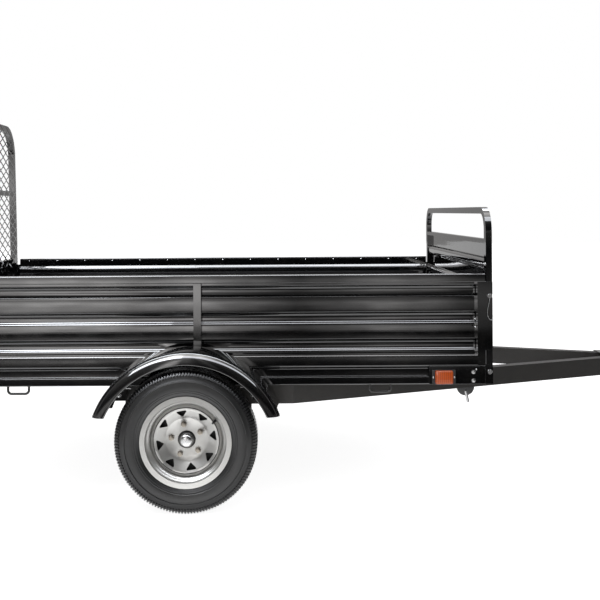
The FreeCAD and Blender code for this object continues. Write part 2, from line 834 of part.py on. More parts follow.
def rim():
    """Pressed steel wheel: drop-centre barrel and a dished disc with windows."""
    edge = (rim_width - rim_thickness) / 2
    seat = rim_seat_radius - rim_thickness / 2
    drop = rim_drop_radius - rim_thickness / 2
    barrel_line = [
        (rim_flange_radius, edge), (seat, edge), (seat, edge - rim_outer_seat),
        (drop, edge - rim_outer_seat - rim_well_slope),
        (drop, rim_inner_seat + rim_well_slope - edge), (seat, rim_inner_seat - edge),
        (seat, -edge), (rim_flange_radius, -edge),
    ]
    barrel = revolved(strip(barrel_line, rim_thickness), 0, wheel_y, axle_z, 1)
    disc_line = [
        (disc_bore_radius, 0), (lug_circle_radius + disc_flat_margin, 0),
        (window_apex_radius + disc_step_margin, disc_dish / 3), (disc_crown_radius, disc_dish),
        (disc_crown_radius + disc_edge_margin, disc_dish - disc_edge_drop), (drop, disc_weld_offset),
    ]
    disc = revolved(strip(disc_line, disc_thickness), 0, wheel_y, axle_z, 1)
    cutters = [rim_window(index) for index in range(window_count)]
    for index in range(lug_count):
        x, z = lug_place(index)
        cutters.append(rod_y(x, z, wheel_y - rim_width, wheel_y + rim_width, stud_radius + seat_gap))
    return fused([barrel, disc.cut(cutters)])


def hub():
    """Hub with its flange, five studs with nuts and the dust cap."""
    back = wheel_y - disc_thickness / 2
    front = wheel_y + disc_thickness / 2
    inner = wheel_y - hub_inner_depth
    pieces = [
        rod_y(0, axle_z, inner, back, hub_barrel_radius),
        rod_y(0, axle_z, back - hub_flange_thickness, back, hub_flange_radius),
        rod_y(0, axle_z, back, front + nut_height / 2, disc_bore_radius - running_gap / 2),
    ]
    cap = rod_y(0, axle_z, front, front + cap_length, cap_radius)
    rim_edge = [edge for edge in cap.Edges
                if edge.BoundBox.YLength < 0.01 and edge.BoundBox.YMin > front + 1]
    pieces.append(cap.makeFillet(cap_dome, rim_edge))
    for index in range(lug_count):
        x, z = lug_place(index)
        pieces.append(rod_y(x, z, back - 1, front + nut_height, stud_radius))
        corner = nut_flats / 2 / math.cos(math.pi / 6)
        hexagon = [(x + corner * math.cos(math.pi / 3 * step), z + corner * math.sin(math.pi / 3 * step))
                   for step in range(6)]
        pieces.append(along_y(hexagon, front, front + nut_height))
    bore = rod_y(0, axle_z, inner, wheel_y + seat_gap, hub_bore_radius)
    return fused(pieces).cut(bore)


# Axle and springs

def pad_top_z():
    return axle_z + axle_radius + pad_thickness


def ubolt(y, top):
    """A round bar bent under the axle tube, its two ends up past the spring to a height."""
    r = axle_radius + ubolt_radius - ubolt_bite
    edges = [
        Part.makeLine(Vector(-r, y, top), Vector(-r, y, axle_z)),
        Part.Arc(Vector(-r, y, axle_z), Vector(0, y, axle_z - r), Vector(r, y, axle_z)).toShape(),
        Part.makeLine(Vector(r, y, axle_z), Vector(r, y, top)),
    ]
    section = Part.Wire(Part.makeCircle(ubolt_radius, Vector(-r, y, top), Z_AXIS))
    return Part.Wire(edges).makePipeShell([section], True, False)


def tie_plate(y):
    """The flat plate on a spring's top leaf that its two U-bolts draw down."""
    half_x = axle_radius + 2 * ubolt_radius + tie_plate_margin
    half_y = leaf_width / 2 + ubolt_side_gap + 2 * ubolt_radius + tie_plate_margin
    centre_z, radius = spring_arc()[1:]
    z = centre_z - math.sqrt(radius ** 2 - half_x ** 2) + seat_gap
    return block(-half_x, half_x, y - half_y, y + half_y, z, z + tie_plate_thickness)


def axle():
    """Straight axle tube with spring pads, U-bolts, tie plates and a spindle at each end."""
    tube_end = wheel_y - hub_inner_depth - running_gap
    pieces = [rod_y(0, axle_z, -tube_end, tube_end, axle_radius)]
    for sign in (1, -1):
        y0, y1 = sorted((sign * (tube_end - 1), sign * wheel_y))
        pieces.append(rod_y(0, axle_z, y0, y1, spindle_radius))
        pieces.append(block(-pad_length / 2, pad_length / 2, sign * spring_y - leaf_width / 2,
                            sign * spring_y + leaf_width / 2, axle_z + axle_radius / 2, pad_top_z()))
        plate = tie_plate(sign * spring_y)
        pieces.append(plate)
        beside = leaf_width / 2 + ubolt_side_gap + ubolt_radius
        for y in (sign * spring_y - beside, sign * spring_y + beside):
            pieces.append(ubolt(y, plate.BoundBox.ZMax + ubolt_thread))
    return fused(pieces)


def spring_arc():
    """Height of the eyes, and centre height and radius of the main leaf's upper face."""
    eye_z = beam_z - eye_drop
    pack = leaf_thickness * len(leaf_halves)
    low_z = pad_top_z() + pack - leaf_thickness / 2
    rise = eye_z - low_z
    half = leaf_halves[0]
    radius = (half ** 2 + rise ** 2) / (2 * rise)
    return eye_z, low_z + radius, radius - leaf_thickness / 2


def leaf_spring():
    """Left leaf spring: leaves of falling length under a main leaf with rolled eyes."""
    eye_z, centre_z, radius = spring_arc()
    down = 270.0
    y0 = spring_y - leaf_width / 2
    y1 = spring_y + leaf_width / 2
    pieces = []
    for index, half in enumerate(leaf_halves):
        outside = radius + leaf_thickness * (index + 1)
        spread = math.degrees(math.asin(half / outside))
        pieces.append(arc_band(0, centre_z, outside, leaf_thickness, down - spread, down + spread,
                               y0, y1))
    bores = []
    for sign in (1, -1):
        pieces.append(rod_y(sign * leaf_halves[0], eye_z, y0, y1, eye_radius))
        bores.append(rod_y(sign * leaf_halves[0], eye_z, y0 - 1, y1 + 1, eye_bolt_radius + seat_gap))
    return fused(pieces).cut(bores)


def spring_hangers():
    """Two pairs of hangers under the beams, each two plates and the bolt through the eye."""
    eye_z = spring_arc()[0]
    inner = spring_y - leaf_width / 2 - seat_gap
    outer = spring_y + leaf_width / 2 + seat_gap
    pieces = []
    for x in (leaf_halves[0], -leaf_halves[0]):
        plates = []
        for y0 in (inner - hanger_plate, outer):
            plates.append(block(x - hanger_width / 2, x + hanger_width / 2, y0, y0 + hanger_plate,
                                eye_z, beam_z))
            plates.append(rod_y(x, eye_z, y0, y0 + hanger_plate, hanger_width / 2))
        bolt = rod_y(x, eye_z, inner - 2 * hanger_plate, outer + 2 * hanger_plate, eye_bolt_radius)
        hanger = fused(plates + [bolt])
        pieces.append(hanger.cut(block(x - hanger_width, x + hanger_width, inner - hanger_width,
                                       outer + hanger_width, beam_z, frame_z)))
    return Part.makeCompound([half for piece in pieces for half in left_and_right(piece)])


# Fenders

def fender():
    """Left fender: a rolled arch with a rounded outer edge and a hanging lip."""
    r = fender_radius
    t = fender_thickness
    c = fender_corner_radius
    y0 = side_outer_y
    y1 = fender_outer_y
    z = fender_centre_z
    part = math.sin(math.pi / 4)

    def v(radius, y):
        return Vector(radius, y, z)

    edges = [
        Part.makeLine(v(r, y0), v(r, y1 - c)),
        Part.Arc(v(r, y1 - c), v(r - c + c * part, y1 - c + c * part), v(r - c, y1)).toShape(),
        Part.makeLine(v(r - c, y1), v(r - fender_lip, y1)),
        Part.makeLine(v(r - fender_lip, y1), v(r - fender_lip, y1 - t)),
        Part.makeLine(v(r - fender_lip, y1 - t), v(r - c, y1 - t)),
        Part.Arc(v(r - c, y1 - t), v(r - c + (c - t) * part, y1 - c + (c - t) * part),
                 v(r - t, y1 - c)).toShape(),
        Part.makeLine(v(r - t, y1 - c), v(r - t, y0)),
        Part.makeLine(v(r - t, y0), v(r, y0)),
    ]
    arch_half = Part.Face(Part.Wire(edges)).revolve(Vector(0, 0, z), Y_AXIS, -180)
    low = block(-2 * r, 2 * r, y0 - 1, y1 + 1, z - r, fender_end_z)
    return arch_half.cut(low)


def fender_braces():
    """Two braces to a fender: a plate under the side rail and a strap out under the skin."""
    pieces = []
    inside = fender_radius - fender_thickness - seat_gap
    start = math.degrees(math.asin((fender_end_z - fender_centre_z) / inside))
    sweep = math.degrees(brace_strap / inside)
    reach_y = fender_outer_y - fender_corner_radius
    plate_y = side_outer_y - brace_thickness
    start_x = fender_radius - brace_inset
    outline = [
        (start_x, frame_z),
        (start_x, brace_bottom_z),
        (start_x + brace_flat, brace_bottom_z),
        (start_x + brace_flat + brace_slant, fender_end_z),
        (fender_radius, fender_end_z),
        (fender_radius, frame_z),
    ]
    plate = along_y(outline, plate_y, side_outer_y)
    plate = plate.common(rod_y(0, fender_centre_z, plate_y - 1, side_outer_y + 1, inside))
    strap = arc_band(0, fender_centre_z, inside, brace_thickness, start, start + sweep,
                     plate_y, reach_y)
    front = fused([plate, strap])
    rear = front.mirror(Vector(0, 0, 0), Vector(1, 0, 0))
    for piece in (front, rear):
        pieces += left_and_right(piece)
    return Part.makeCompound(pieces)


# Front gate

def front_gate_loop():
    """Hoop of the front gate with its rung and its two pivot eyes."""
    x0 = front_gate_x
    x1 = front_gate_face_x
    inner_y = gate_outer_y - front_gate_post
    inner_radius = front_gate_radius - front_gate_post
    hoop = arch(x0, x1, gate_outer_y, front_pivot_z, front_gate_top_z, front_gate_radius)
    window = arch(x0 - 1, x1 + 1, inner_y, front_pivot_z - 1, front_gate_top_z - front_gate_bar,
                  inner_radius)
    hollow = arch(x0 + tube_wall, x1 - tube_wall, gate_outer_y - tube_wall, front_pivot_z,
                  front_gate_top_z - tube_wall, front_gate_radius - tube_wall)
    core = arch(x0, x1, inner_y + tube_wall, front_pivot_z - 1,
                front_gate_top_z - front_gate_bar + tube_wall, inner_radius + tube_wall)
    hoop = hoop.cut([window, hollow.cut(core)])
    rung = block(x0, x1, -inner_y, inner_y, front_gate_rung_z, front_gate_rung_z + front_gate_rung)
    pieces = [hoop, rung]
    bores = []
    for sign in (1, -1):
        y0, y1 = sorted((sign * inner_y, sign * gate_outer_y))
        pieces.append(rod_y(front_pivot_x, front_pivot_z, y0, y1, front_gate_thickness / 2))
        for z in (front_pivot_z, lock_pin_z):
            bores.append(rod_y(front_pivot_x, z, y0 - 1, y1 + 1, pin_bore_radius))
    return fused(pieces).cut(bores)


def front_gate_sheet():
    """Grooved sheet of the front gate below its rung."""
    half_y = gate_outer_y - front_gate_post
    first_groove = front_gate_rung_z - (groove_pitch - groove_height) + groove_slope / 2
    face_x = front_pivot_x + groove_depth / 2
    line = [(face_x - depth, z, radius) for depth, z, radius in
            corrugation(front_gate_rung_z, front_gate_sheet_z, first_groove)]
    face = bent_sheet(line, sheet_thickness, lambda x, z: Vector(x, -half_y, z))
    return face.extrude(Vector(0, 2 * half_y, 0))


def gate_pin(x, z, post_width_y):
    """A headed pin through a gate post and the ear beside it, left side."""
    head_y = side_outer_y + seat_gap
    shank = rod_y(x, z, gate_outer_y - post_width_y, head_y + 1, pin_radius)
    head = rod_y(x, z, head_y, head_y + pin_head_length, pin_head_radius)
    return fused([shank, head])


def gate_pins(x, pivot_z, post_width_y):
    pieces = []
    for z in (pivot_z, lock_pin_z):
        pieces += left_and_right(gate_pin(x, z, post_width_y))
    return Part.makeCompound(pieces)


# Ramp gate, drawn upright and then leaned back about its pivot

def leaned(shape):
    turned = shape.copy()
    turned.rotate(Vector(ramp_pivot_x, 0, ramp_pivot_z), Y_AXIS, -ramp_lean)
    return turned


def ramp_frame():
    """Tube frame of the ramp gate with a rung and the top rail of its lower sheet."""
    x0 = ramp_rear_x
    x1 = ramp_face_x
    bottom = ramp_pivot_z - ramp_tube / 2
    inner_y = gate_outer_y - ramp_tube
    hoop = arch(x0, x1, gate_outer_y, bottom, ramp_top_z, ramp_radius)
    window = arch(x0 - 1, x1 + 1, inner_y, bottom + ramp_tube, ramp_top_z - ramp_tube,
                  ramp_radius - ramp_tube)
    hollow = arch(x0 + tube_wall, x1 - tube_wall, gate_outer_y - tube_wall, bottom + tube_wall,
                  ramp_top_z - tube_wall, ramp_radius - tube_wall)
    core = arch(x0, x1, inner_y + tube_wall, bottom + ramp_tube - tube_wall,
                ramp_top_z - ramp_tube + tube_wall, ramp_radius - ramp_tube + tube_wall)
    pieces = [hoop.cut([window, hollow.cut(core)])]
    pieces.append(block(x0, x1, -inner_y, inner_y, ramp_rung_z - ramp_rung / 2,
                        ramp_rung_z + ramp_rung / 2))
    pieces.append(block(x0, x1, -inner_y, inner_y, ramp_sheet_top_z - ramp_sheet_rail, ramp_sheet_top_z))
    bores = []
    for sign in (1, -1):
        y0, y1 = sorted((sign * inner_y, sign * gate_outer_y))
        for z in (ramp_pivot_z, lock_pin_z):
            bores.append(rod_y(ramp_pivot_x, z, y0 - 1, y1 + 1, pin_bore_radius))
    return leaned(fused(pieces).cut(bores))


def ramp_sheet():
    """Plain sheet behind the mesh, as high as the sides of the bed."""
    inner_y = gate_outer_y - ramp_tube
    bottom = ramp_pivot_z + ramp_tube / 2
    sheet = block(ramp_rear_x, ramp_rear_x + sheet_thickness, -inner_y, inner_y, bottom,
                  ramp_sheet_top_z - ramp_sheet_rail)
    return leaned(sheet)


def mesh_layer(x0, x1, direction):
    """One layer of slanting strands, held by a narrow edge that follows the frame."""
    half_y = gate_outer_y - mesh_margin
    bottom = ramp_pivot_z - ramp_tube / 2 + mesh_margin
    top = ramp_top_z - mesh_margin
    radius = ramp_radius - mesh_margin
    plate = arch(x0, x1, half_y, bottom, top, radius)
    opening = arch(x0, x1, half_y - mesh_edge, bottom + mesh_edge, top - mesh_edge,
                   radius - mesh_edge)
    slope = mesh_diamond_height / mesh_diamond_width * direction
    upright_gap = mesh_diamond_height - strand_width / math.cos(math.atan(slope))
    reach = half_y * abs(slope)
    gaps = []
    z = bottom - reach
    while z < top + reach:
        corners = [(-half_y, z - slope * half_y), (half_y, z + slope * half_y)]
        outline = corners + [(y, level + upright_gap) for y, level in corners[::-1]]
        gaps.append(along_x(outline, x0, x1).common(opening))
        z += mesh_diamond_height
    holes = [gap for gap in gaps if gap.Volume > 1]
    return leaned(plate.cut(holes))


# Lamps, loops and lugs

def lamp_plate():
    """Smooth plate over the groove of the left bottom rail, behind the front corner."""
    return block(lamp_plate_rear_x, bed_front_x, side_outer_y, side_outer_y + lamp_plate_thickness,
                 frame_z, frame_z + bottom_groove_low + bottom_groove_height)


def marker_lamp():
    y0 = side_outer_y + lamp_plate_thickness
    half = marker_lamp_length / 2
    box = block(marker_lamp_x - half, marker_lamp_x + half, y0, y0 + marker_lamp_depth,
                frame_z, frame_z + marker_lamp_height)
    edges = [edge for edge in box.Edges if edge.BoundBox.YMin > y0 + marker_lamp_depth - 0.01]
    return box.makeFillet(lamp_corner_radius, edges)


def tail_lamp():
    """Box lamp that hangs under the rear sill, its lens to the rear."""
    x0 = bed_rear_x + tail_lamp_setback
    half = tail_lamp_width / 2
    box = block(x0, x0 + tail_lamp_depth, tail_lamp_y - half, tail_lamp_y + half,
                frame_z - tail_lamp_height, frame_z)
    edges = [edge for edge in box.Edges if edge.BoundBox.XMax < x0 + 0.01]
    return box.makeFillet(lamp_corner_radius, edges)


def tie_loop(x):
    """A round bar bent to a loop under the left bottom rail."""
    y = side_outer_y - side_depth / 2
    half = loop_width / 2 - loop_rod_radius
    r = loop_bend_radius
    low = frame_z - loop_drop + loop_rod_radius
    part = math.sin(math.pi / 4)
    edges = [
        Part.makeLine(Vector(x - half, y, frame_z), Vector(x - half, y, low + r)),
        Part.Arc(Vector(x - half, y, low + r), Vector(x - half + r - r * part, y, low + r - r * part),
                 Vector(x - half + r, y, low)).toShape(),
        Part.makeLine(Vector(x - half + r, y, low), Vector(x + half - r, y, low)),
        Part.Arc(Vector(x + half - r, y, low), Vector(x + half - r + r * part, y, low + r - r * part),
                 Vector(x + half, y, low + r)).toShape(),
        Part.makeLine(Vector(x + half, y, low + r), Vector(x + half, y, frame_z)),
    ]
    section = Part.Wire(Part.makeCircle(loop_rod_radius, Vector(x - half, y, frame_z), Z_AXIS))
    return Part.Wire(edges).makePipeShell([section], True, False)


def tie_loops():
    pieces = []
    for x in loop_stations:
        pieces += left_and_right(tie_loop(x))
    return Part.makeCompound(pieces)


def beam_lugs():
    """Half-round lug under the middle of each beam with a pin hanging in it."""
    lug_y = beam_face_y(lug_x, 0) - beam_width / 2
    disc = rod_y(lug_x, beam_z, lug_y - lug_plate / 2, lug_y + lug_plate / 2, lug_radius)
    upper = block(lug_x - lug_radius, lug_x + lug_radius, lug_y - lug_plate, lug_y + lug_plate,
                  beam_z, beam_z + lug_radius)
    lug = disc.cut(upper)
    tilt = math.radians(lug_pin_tilt)
    top = Vector(lug_x, lug_y, beam_z - lug_radius / 3)
    pin = rod(top, top + Vector(math.sin(tilt), 0, -math.cos(tilt)) * lug_pin_length, lug_pin_radius)
    return Part.makeCompound(left_and_right(fused([lug, pin])))


# Lanyard

def lanyard_route():
    """Corners of the left wire: from the pin's head, down past the ear and round to the front."""
    y = side_outer_y + seat_gap + pin_head_length / 2 + 3
    x = front_pivot_x
    z = lock_pin_z - pin_head_radius
    front = front_gate_face_x
    return [
        Vector(x, y, z - seat_gap),
        Vector(x - 4, y, z - 24),
        Vector(x - 10, y - 1, z - 50),
        Vector(x - 7, y - 2, z - 74),
        Vector(x + 8, y - 3, z - 86),
        Vector(x + 22, y - 8, z - 76),
        Vector(front + 12, y - 26, z - 70),
        Vector(front, y - 26, z - 70),
    ]


def tangent_path(points, share):
    """Straight runs joined by tangent arcs, each as large as its two runs allow."""
    edges = []
    radii = []
    start = points[0]
    for before, corner, after in zip(points, points[1:], points[2:]):
        incoming = (corner - before).normalize()
        outgoing = (after - corner).normalize()
        half_turn = incoming.getAngle(outgoing) / 2
        back = share * min((corner - before).Length, (after - corner).Length)
        radii.append(back / math.tan(half_turn))
        enter = corner - incoming * back
        leave = corner + outgoing * back
        inward = (outgoing - incoming).normalize()
        middle = corner + inward * (radii[-1] / math.cos(half_turn) - radii[-1])
        edges.append(Part.LineSegment(start, enter).toShape())
        edges.append(Part.Arc(enter, middle, leave).toShape())
        start = leave
    edges.append(Part.LineSegment(start, points[-1]).toShape())
    return Part.Wire(edges), radii


def lanyard():
    route = lanyard_route()
    path, radii = tangent_path(route, lanyard_arc_share)
    section = Part.Wire(Part.makeCircle(lanyard_radius, route[0], route[1] - route[0]))
    tube = path.makePipeShell([section], True, True)
    print("lanyard radii", [round(radius, 1) for radius in radii])
    print("lanyard volume", round(tube.Volume, 1),
          "section by length", round(math.pi * lanyard_radius ** 2 * path.Length, 1))
    return tube


def paired(name, shape):
    """A left node and its mirror image on the right."""
    return {name + "_left": shape, name + "_right": mirrored(shape)}


def build():
    mesh_back_x = ramp_face_x
    mesh_mid_x = ramp_face_x + mesh_thickness / 2
    mesh_front_x = ramp_face_x + mesh_thickness
    nodes = {
        "floor_crossmembers": crossmembers(),
        "sills": Part.makeCompound([front_sill(), rear_sill()]),
        "deck_floor": deck_floor(),
        "coupler": coupler(),
        "coupler_latch": coupler_latch(),
        "jack_tube": jack_tube(),
        "jack_crank": jack_crank(),
        "jack_leg": jack_leg(),
        "axle": axle(),
        "leaf_springs": Part.makeCompound(left_and_right(leaf_spring())),
        "spring_hangers": spring_hangers(),
        "fender_braces": fender_braces(),
        "tie_loops": tie_loops(),
        "beam_lugs": beam_lugs(),
        "lamp_plates": Part.makeCompound(left_and_right(lamp_plate())),
        "marker_lamps": Part.makeCompound(left_and_right(marker_lamp())),
        "tail_lamps": Part.makeCompound(left_and_right(tail_lamp())),
        "front_gate_loop": front_gate_loop(),
        "front_gate_sheet": front_gate_sheet(),
        "front_gate_pins": gate_pins(front_pivot_x, front_pivot_z, front_gate_post),
        "ramp_frame": ramp_frame(),
        "ramp_sheet": ramp_sheet(),
        "ramp_mesh_front": mesh_layer(mesh_mid_x, mesh_front_x, 1),
        "ramp_mesh_back": mesh_layer(mesh_back_x, mesh_mid_x, -1),
        "ramp_gate_pins": leaned(gate_pins(ramp_pivot_x, ramp_pivot_z, ramp_tube)),
    }
    for name, shape in (
        ("top_rail", top_rail()),
        ("bottom_rail", bottom_rail()),
        ("side_panel", side_panel()),
        ("posts", posts()),
        ("tongue_beam", tongue_beam()),
        ("fender", fender()),
        ("tyre", tyre()),
        ("rim", rim()),
        ("hub", hub()),
        ("lanyard", lanyard()),
    ):
        nodes.update(paired(name, shape))
    return nodes


os.makedirs("parts", exist_ok=True)
for node, shape in build().items():
    placed = shape.copy()
    placed.translate(Vector(-origin_x, 0, 0))
    placed.exportStep("parts/" + node + ".step")
print("wheel axis at x", round(-origin_x, 3), "length", round(nose_x - rear_end_x, 3))
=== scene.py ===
import json
import math

import bmesh
import bpy
from mathutils import Matrix, Vector

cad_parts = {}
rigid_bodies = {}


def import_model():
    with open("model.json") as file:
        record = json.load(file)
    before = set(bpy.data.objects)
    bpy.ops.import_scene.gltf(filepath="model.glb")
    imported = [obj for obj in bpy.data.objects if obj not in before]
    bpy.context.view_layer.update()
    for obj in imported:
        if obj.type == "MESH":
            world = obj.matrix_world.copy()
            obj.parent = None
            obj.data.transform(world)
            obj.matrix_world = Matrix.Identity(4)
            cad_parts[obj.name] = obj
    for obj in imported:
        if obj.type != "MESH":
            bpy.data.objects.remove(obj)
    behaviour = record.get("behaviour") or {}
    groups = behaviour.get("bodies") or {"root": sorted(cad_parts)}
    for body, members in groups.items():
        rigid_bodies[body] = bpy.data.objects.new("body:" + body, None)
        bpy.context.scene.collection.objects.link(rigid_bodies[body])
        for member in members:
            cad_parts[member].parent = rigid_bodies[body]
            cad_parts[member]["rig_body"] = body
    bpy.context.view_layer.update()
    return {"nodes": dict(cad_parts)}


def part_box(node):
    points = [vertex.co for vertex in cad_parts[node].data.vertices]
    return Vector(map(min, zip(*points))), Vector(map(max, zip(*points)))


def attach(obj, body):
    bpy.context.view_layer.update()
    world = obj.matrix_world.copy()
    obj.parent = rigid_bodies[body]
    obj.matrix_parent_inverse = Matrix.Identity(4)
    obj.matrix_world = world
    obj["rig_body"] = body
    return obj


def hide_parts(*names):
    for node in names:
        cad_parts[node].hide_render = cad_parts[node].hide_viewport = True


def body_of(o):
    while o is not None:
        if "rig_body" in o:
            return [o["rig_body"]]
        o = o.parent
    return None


bl_info = {
    "name": "Utility Trailer Looks",
    "version": (1, 0, 0),
    "blender": (4, 5, 0),
    "location": "View3D > Sidebar > Trailer",
    "description": "Dresses the packed model of a small steel utility trailer in its looks",
    "category": "Object",
}

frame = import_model()

MM = 0.001
AXLE_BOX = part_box("axle")
WHEEL_X = (AXLE_BOX[0].x + AXLE_BOX[1].x) / 2
Y_AXIS = Vector((0, 1, 0))
UP = Vector((0, 0, 1))
SIDES = ((1, "left"), (-1, "right"))

# Finishes that several pieces share, and the name of a slot that the steelwork table lists
COAT, BLACK = "gloss_black_powder_coat", "black_enamel"
STEEL = "dark_painted_steel"
ZINC = "bright_zinc_plate"
RUBBER = "black_moulded_rubber"

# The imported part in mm: x forward of the wheel axis, y left of the middle, z above the ground
WHEEL_SIDE = 910.0
TYRE_RADIUS = 262.0
TOP_RAIL_FACE = 784.0
CORNER_FACE = 783.0
RAIL_FACE = 781.0
RAIL_INSIDE = 751.0
SHEET_WALL = 2.0

# The pressed sheet's grooves in mm. A flat wider than WIDE_FLAT bulges by one wide bend
GROOVE_HEIGHT = 44.3
GROOVE_PITCH = 103.8
GROOVE_DEPTH = 12.0
GROOVE_SLOPE = 9.0
WIDE_FLAT = 45.0
CROWN_RADIUS = 900.0


def at(x, y, z):
    """A point given in mm forward of the wheel axis, left of the middle and above the ground."""
    return Vector((WHEEL_X + x * MM, y * MM, z * MM))


def colour(code):
    """A hex colour as it is seen on a screen, turned to the linear values that the shaders use."""
    channels = [int(code[place:place + 2], 16) / 255 for place in (1, 3, 5)]
    return [c / 12.92 if c <= 0.04045 else ((c + 0.055) / 1.055) ** 2.4 for c in channels] + [1.0]


def with_settings(thing, **settings):
    """Gives a thing its settings in their order."""
    for name, value in settings.items():
        setattr(thing, name, value)
    return thing


# What a user would change

def length(label, meaning, usual, low, high):
    """A length property, given in millimetres."""
    return bpy.props.FloatProperty(name=label, description=meaning, default=usual * MM,
                                   min=low * MM, max=high * MM, unit="LENGTH")


def swatch(label, meaning, code):
    """A colour property."""
    return bpy.props.FloatVectorProperty(name=label, description=meaning, subtype="COLOR", size=4,
                                         min=0, max=1, default=colour(code))


class TrailerSizes(bpy.types.PropertyGroup):
    """Sizes of the parts that are finished here."""

    crisp_bend: length("Crisp bend", "Radius of the pressed sheet's sharper bends", 4, 2, 10)
    soft_bend: length("Soft bend", "Radius of the softer bends of each groove", 13, 4, 14)
    sheet_crown: length("Sheet crown", "How far the sheet's flats bulge outward", 0.15, 0, 2)
    steel_edge: length("Steel edge", "Width of the softened edges of painted steel", 1.0, 0.2, 3)
    strand_width: length("Strand width", "Width of a strand of the expanded metal", 7.0, 2, 10)
    tread_pitches: bpy.props.IntProperty(
        name="Tread pitches", description="Number of lugs round each shoulder of a tyre",
        default=144, min=60, max=180)
    tread_depth: length("Tread depth", "Depth of the grooves between the tyre's lugs", 5, 2, 9)


class TrailerColours(bpy.types.PropertyGroup):
    """Colours of the finishes."""

    coat: swatch("Powder coat", "Black of the bed, the gates and the fenders", "#0B0B0C")
    beam: swatch("Beam paint", "Dull dark grey of the tongue beams", "#1C1A18")
    wheel: swatch("Wheel paint", "Silver of the pressed wheels", "#9C9B98")
    rubber: swatch("Tyre rubber", "Grey black of the tyres", "#0D0D0E")
    zinc: swatch("Zinc", "Plating of bolts, pins, caps and the jack", "#D2D3D6")
    amber: swatch("Amber lens", "Plastic of the side marker lamps", "#E0611F")
    red: swatch("Red lens", "Plastic of the tail lamps", "#B0181A")
    floor: swatch("Studio floor", "Pale floor that the trailer stands on", "#F2F2F2")


# Shader nodes

def node(tree, kind, inputs=None, **settings):
    """Adds a shader node with its settings; an input is given as a value or as a socket to link."""
    made = with_settings(tree.nodes.new(kind), **settings)
    for name, value in (inputs or {}).items():
        if isinstance(value, bpy.types.NodeSocket):
            tree.links.new(value, made.inputs[name])
        else:
            made.inputs[name].default_value = value
    return made


def blank_material(name):
    """A material of that name with an empty node tree, its output and its object coordinates."""
    material = bpy.data.materials.new(name)
    material.use_nodes = True
    tree = material.node_tree
    tree.nodes.clear()
    out = node(tree, "ShaderNodeOutputMaterial")
    return material, tree, out, node(tree, "ShaderNodeTexCoord").outputs["Object"]


def noise(tree, size, vector, detail=3.0, roughness=0.5):
    """Noise whose lumps are about the given size in metres."""
    return node(tree, "ShaderNodeTexNoise", {"Vector": vector, "Scale": 1 / size, "Detail": detail,
                                             "Roughness": roughness}).outputs["Fac"]


def stripes(tree, size, vector, direction, **inputs):
    """Bands of a wave, which lie 0.314 of the given size in metres apart."""
    return node(tree, "ShaderNodeTexWave", {"Vector": vector, "Scale": 1 / size, **inputs},
                wave_type="BANDS", bands_direction=direction).outputs["Fac"]


def stretched(tree, vector, share):
    """Coordinates that draw a pattern out along the trailer."""
    return node(tree, "ShaderNodeMapping", {"Vector": vector,
                                            "Scale": (share, 1.0, 1.0)}).outputs["Vector"]


def blend(tree, share, first, second):
    """A colour between two colours."""
    return node(tree, "ShaderNodeMix", {"Factor": share, "A": tuple(first), "B": tuple(second)},
                data_type="RGBA").outputs["Result"]


def choose(tree, share, first, second):
    """A number between two numbers."""
    return node(tree, "ShaderNodeMix", {"Factor": share, "A": first, "B": second},
                data_type="FLOAT").outputs["Result"]


def spread(tree, value, low, high, bottom=0.0, top=1.0):
    """Turns the range from low to high into the range from bottom to top."""
    return node(tree, "ShaderNodeMapRange", {"Value": value, "From Min": low, "From Max": high,
                                             "To Min": bottom, "To Max": top}).outputs["Result"]


def maths(tree, operation, *values):
    """One step of arithmetic."""
    made = node(tree, "ShaderNodeMath", dict(enumerate(values)), operation=operation)
    return made.outputs["Value"]


def bump(tree, height, strength, distance, under=None):
    """A normal bent by a height in millimetres, over another normal if one is given."""
    inputs = {"Height": height, "Strength": strength, "Distance": distance * MM}
    if under:
        inputs["Normal"] = under
    return node(tree, "ShaderNodeBump", inputs).outputs["Normal"]


def mix_shaders(tree, share, first, second):
    """A shader between two shaders."""
    return node(tree, "ShaderNodeMixShader", {0: share, 1: first, 2: second}).outputs["Shader"]


def ramp(tree, value, stops):
    """Turns a value into a strength that runs between (value, strength) stops."""
    low, high = stops[0][0], stops[-1][0]
    made = node(tree, "ShaderNodeValToRGB", {"Fac": spread(tree, value, low, high)})
    steps = made.color_ramp.elements
    top = max(strength for place, strength in stops)
    while len(steps) < len(stops):
        steps.new(1.0)
    for step, (place, strength) in zip(steps, stops):
        step.position = (place - low) / (high - low)
        step.color = (strength / top, strength / top, strength / top, 1.0)
    return maths(tree, "MULTIPLY", made.outputs["Color"], top)


def seen_rays(tree):
    """Tells the camera's own rays, and those that a surface mirrors or lets through."""
    path = node(tree, "ShaderNodeLightPath").outputs
    return path["Is Camera Ray"], maths(tree, "MAXIMUM", path["Is Glossy Ray"],
                                        path["Is Transmission Ray"])


# Finishes: what goes into the principled shader of each

def powder_coat(tree, place, tint):
    """Gloss black powder coat, sprayed and baked: a deep wet shine with a fine orange peel, over
    sheet that is never quite flat, so that highlights wander along it, under a thin dust."""
    dust = spread(tree, noise(tree, 0.11, place, 6.0, 0.65), 0.5, 0.85, 0.0, 0.045)
    wave = noise(tree, 0.12, stretched(tree, place, 0.25), 1.0)
    skin = bump(tree, noise(tree, 2.2 * MM, place, 1.0), 0.12, 0.06, bump(tree, wave, 1.0, 0.3))
    return {"Base Color": blend(tree, dust, tint, colour("#8A8378")),
            "Roughness": spread(tree, noise(tree, 0.035, place, 4.0), 0.35, 0.75, 0.035, 0.08),
            "Normal": skin, "Coat Weight": 0.8, "Coat Roughness": 0.03, "Coat Normal": skin}


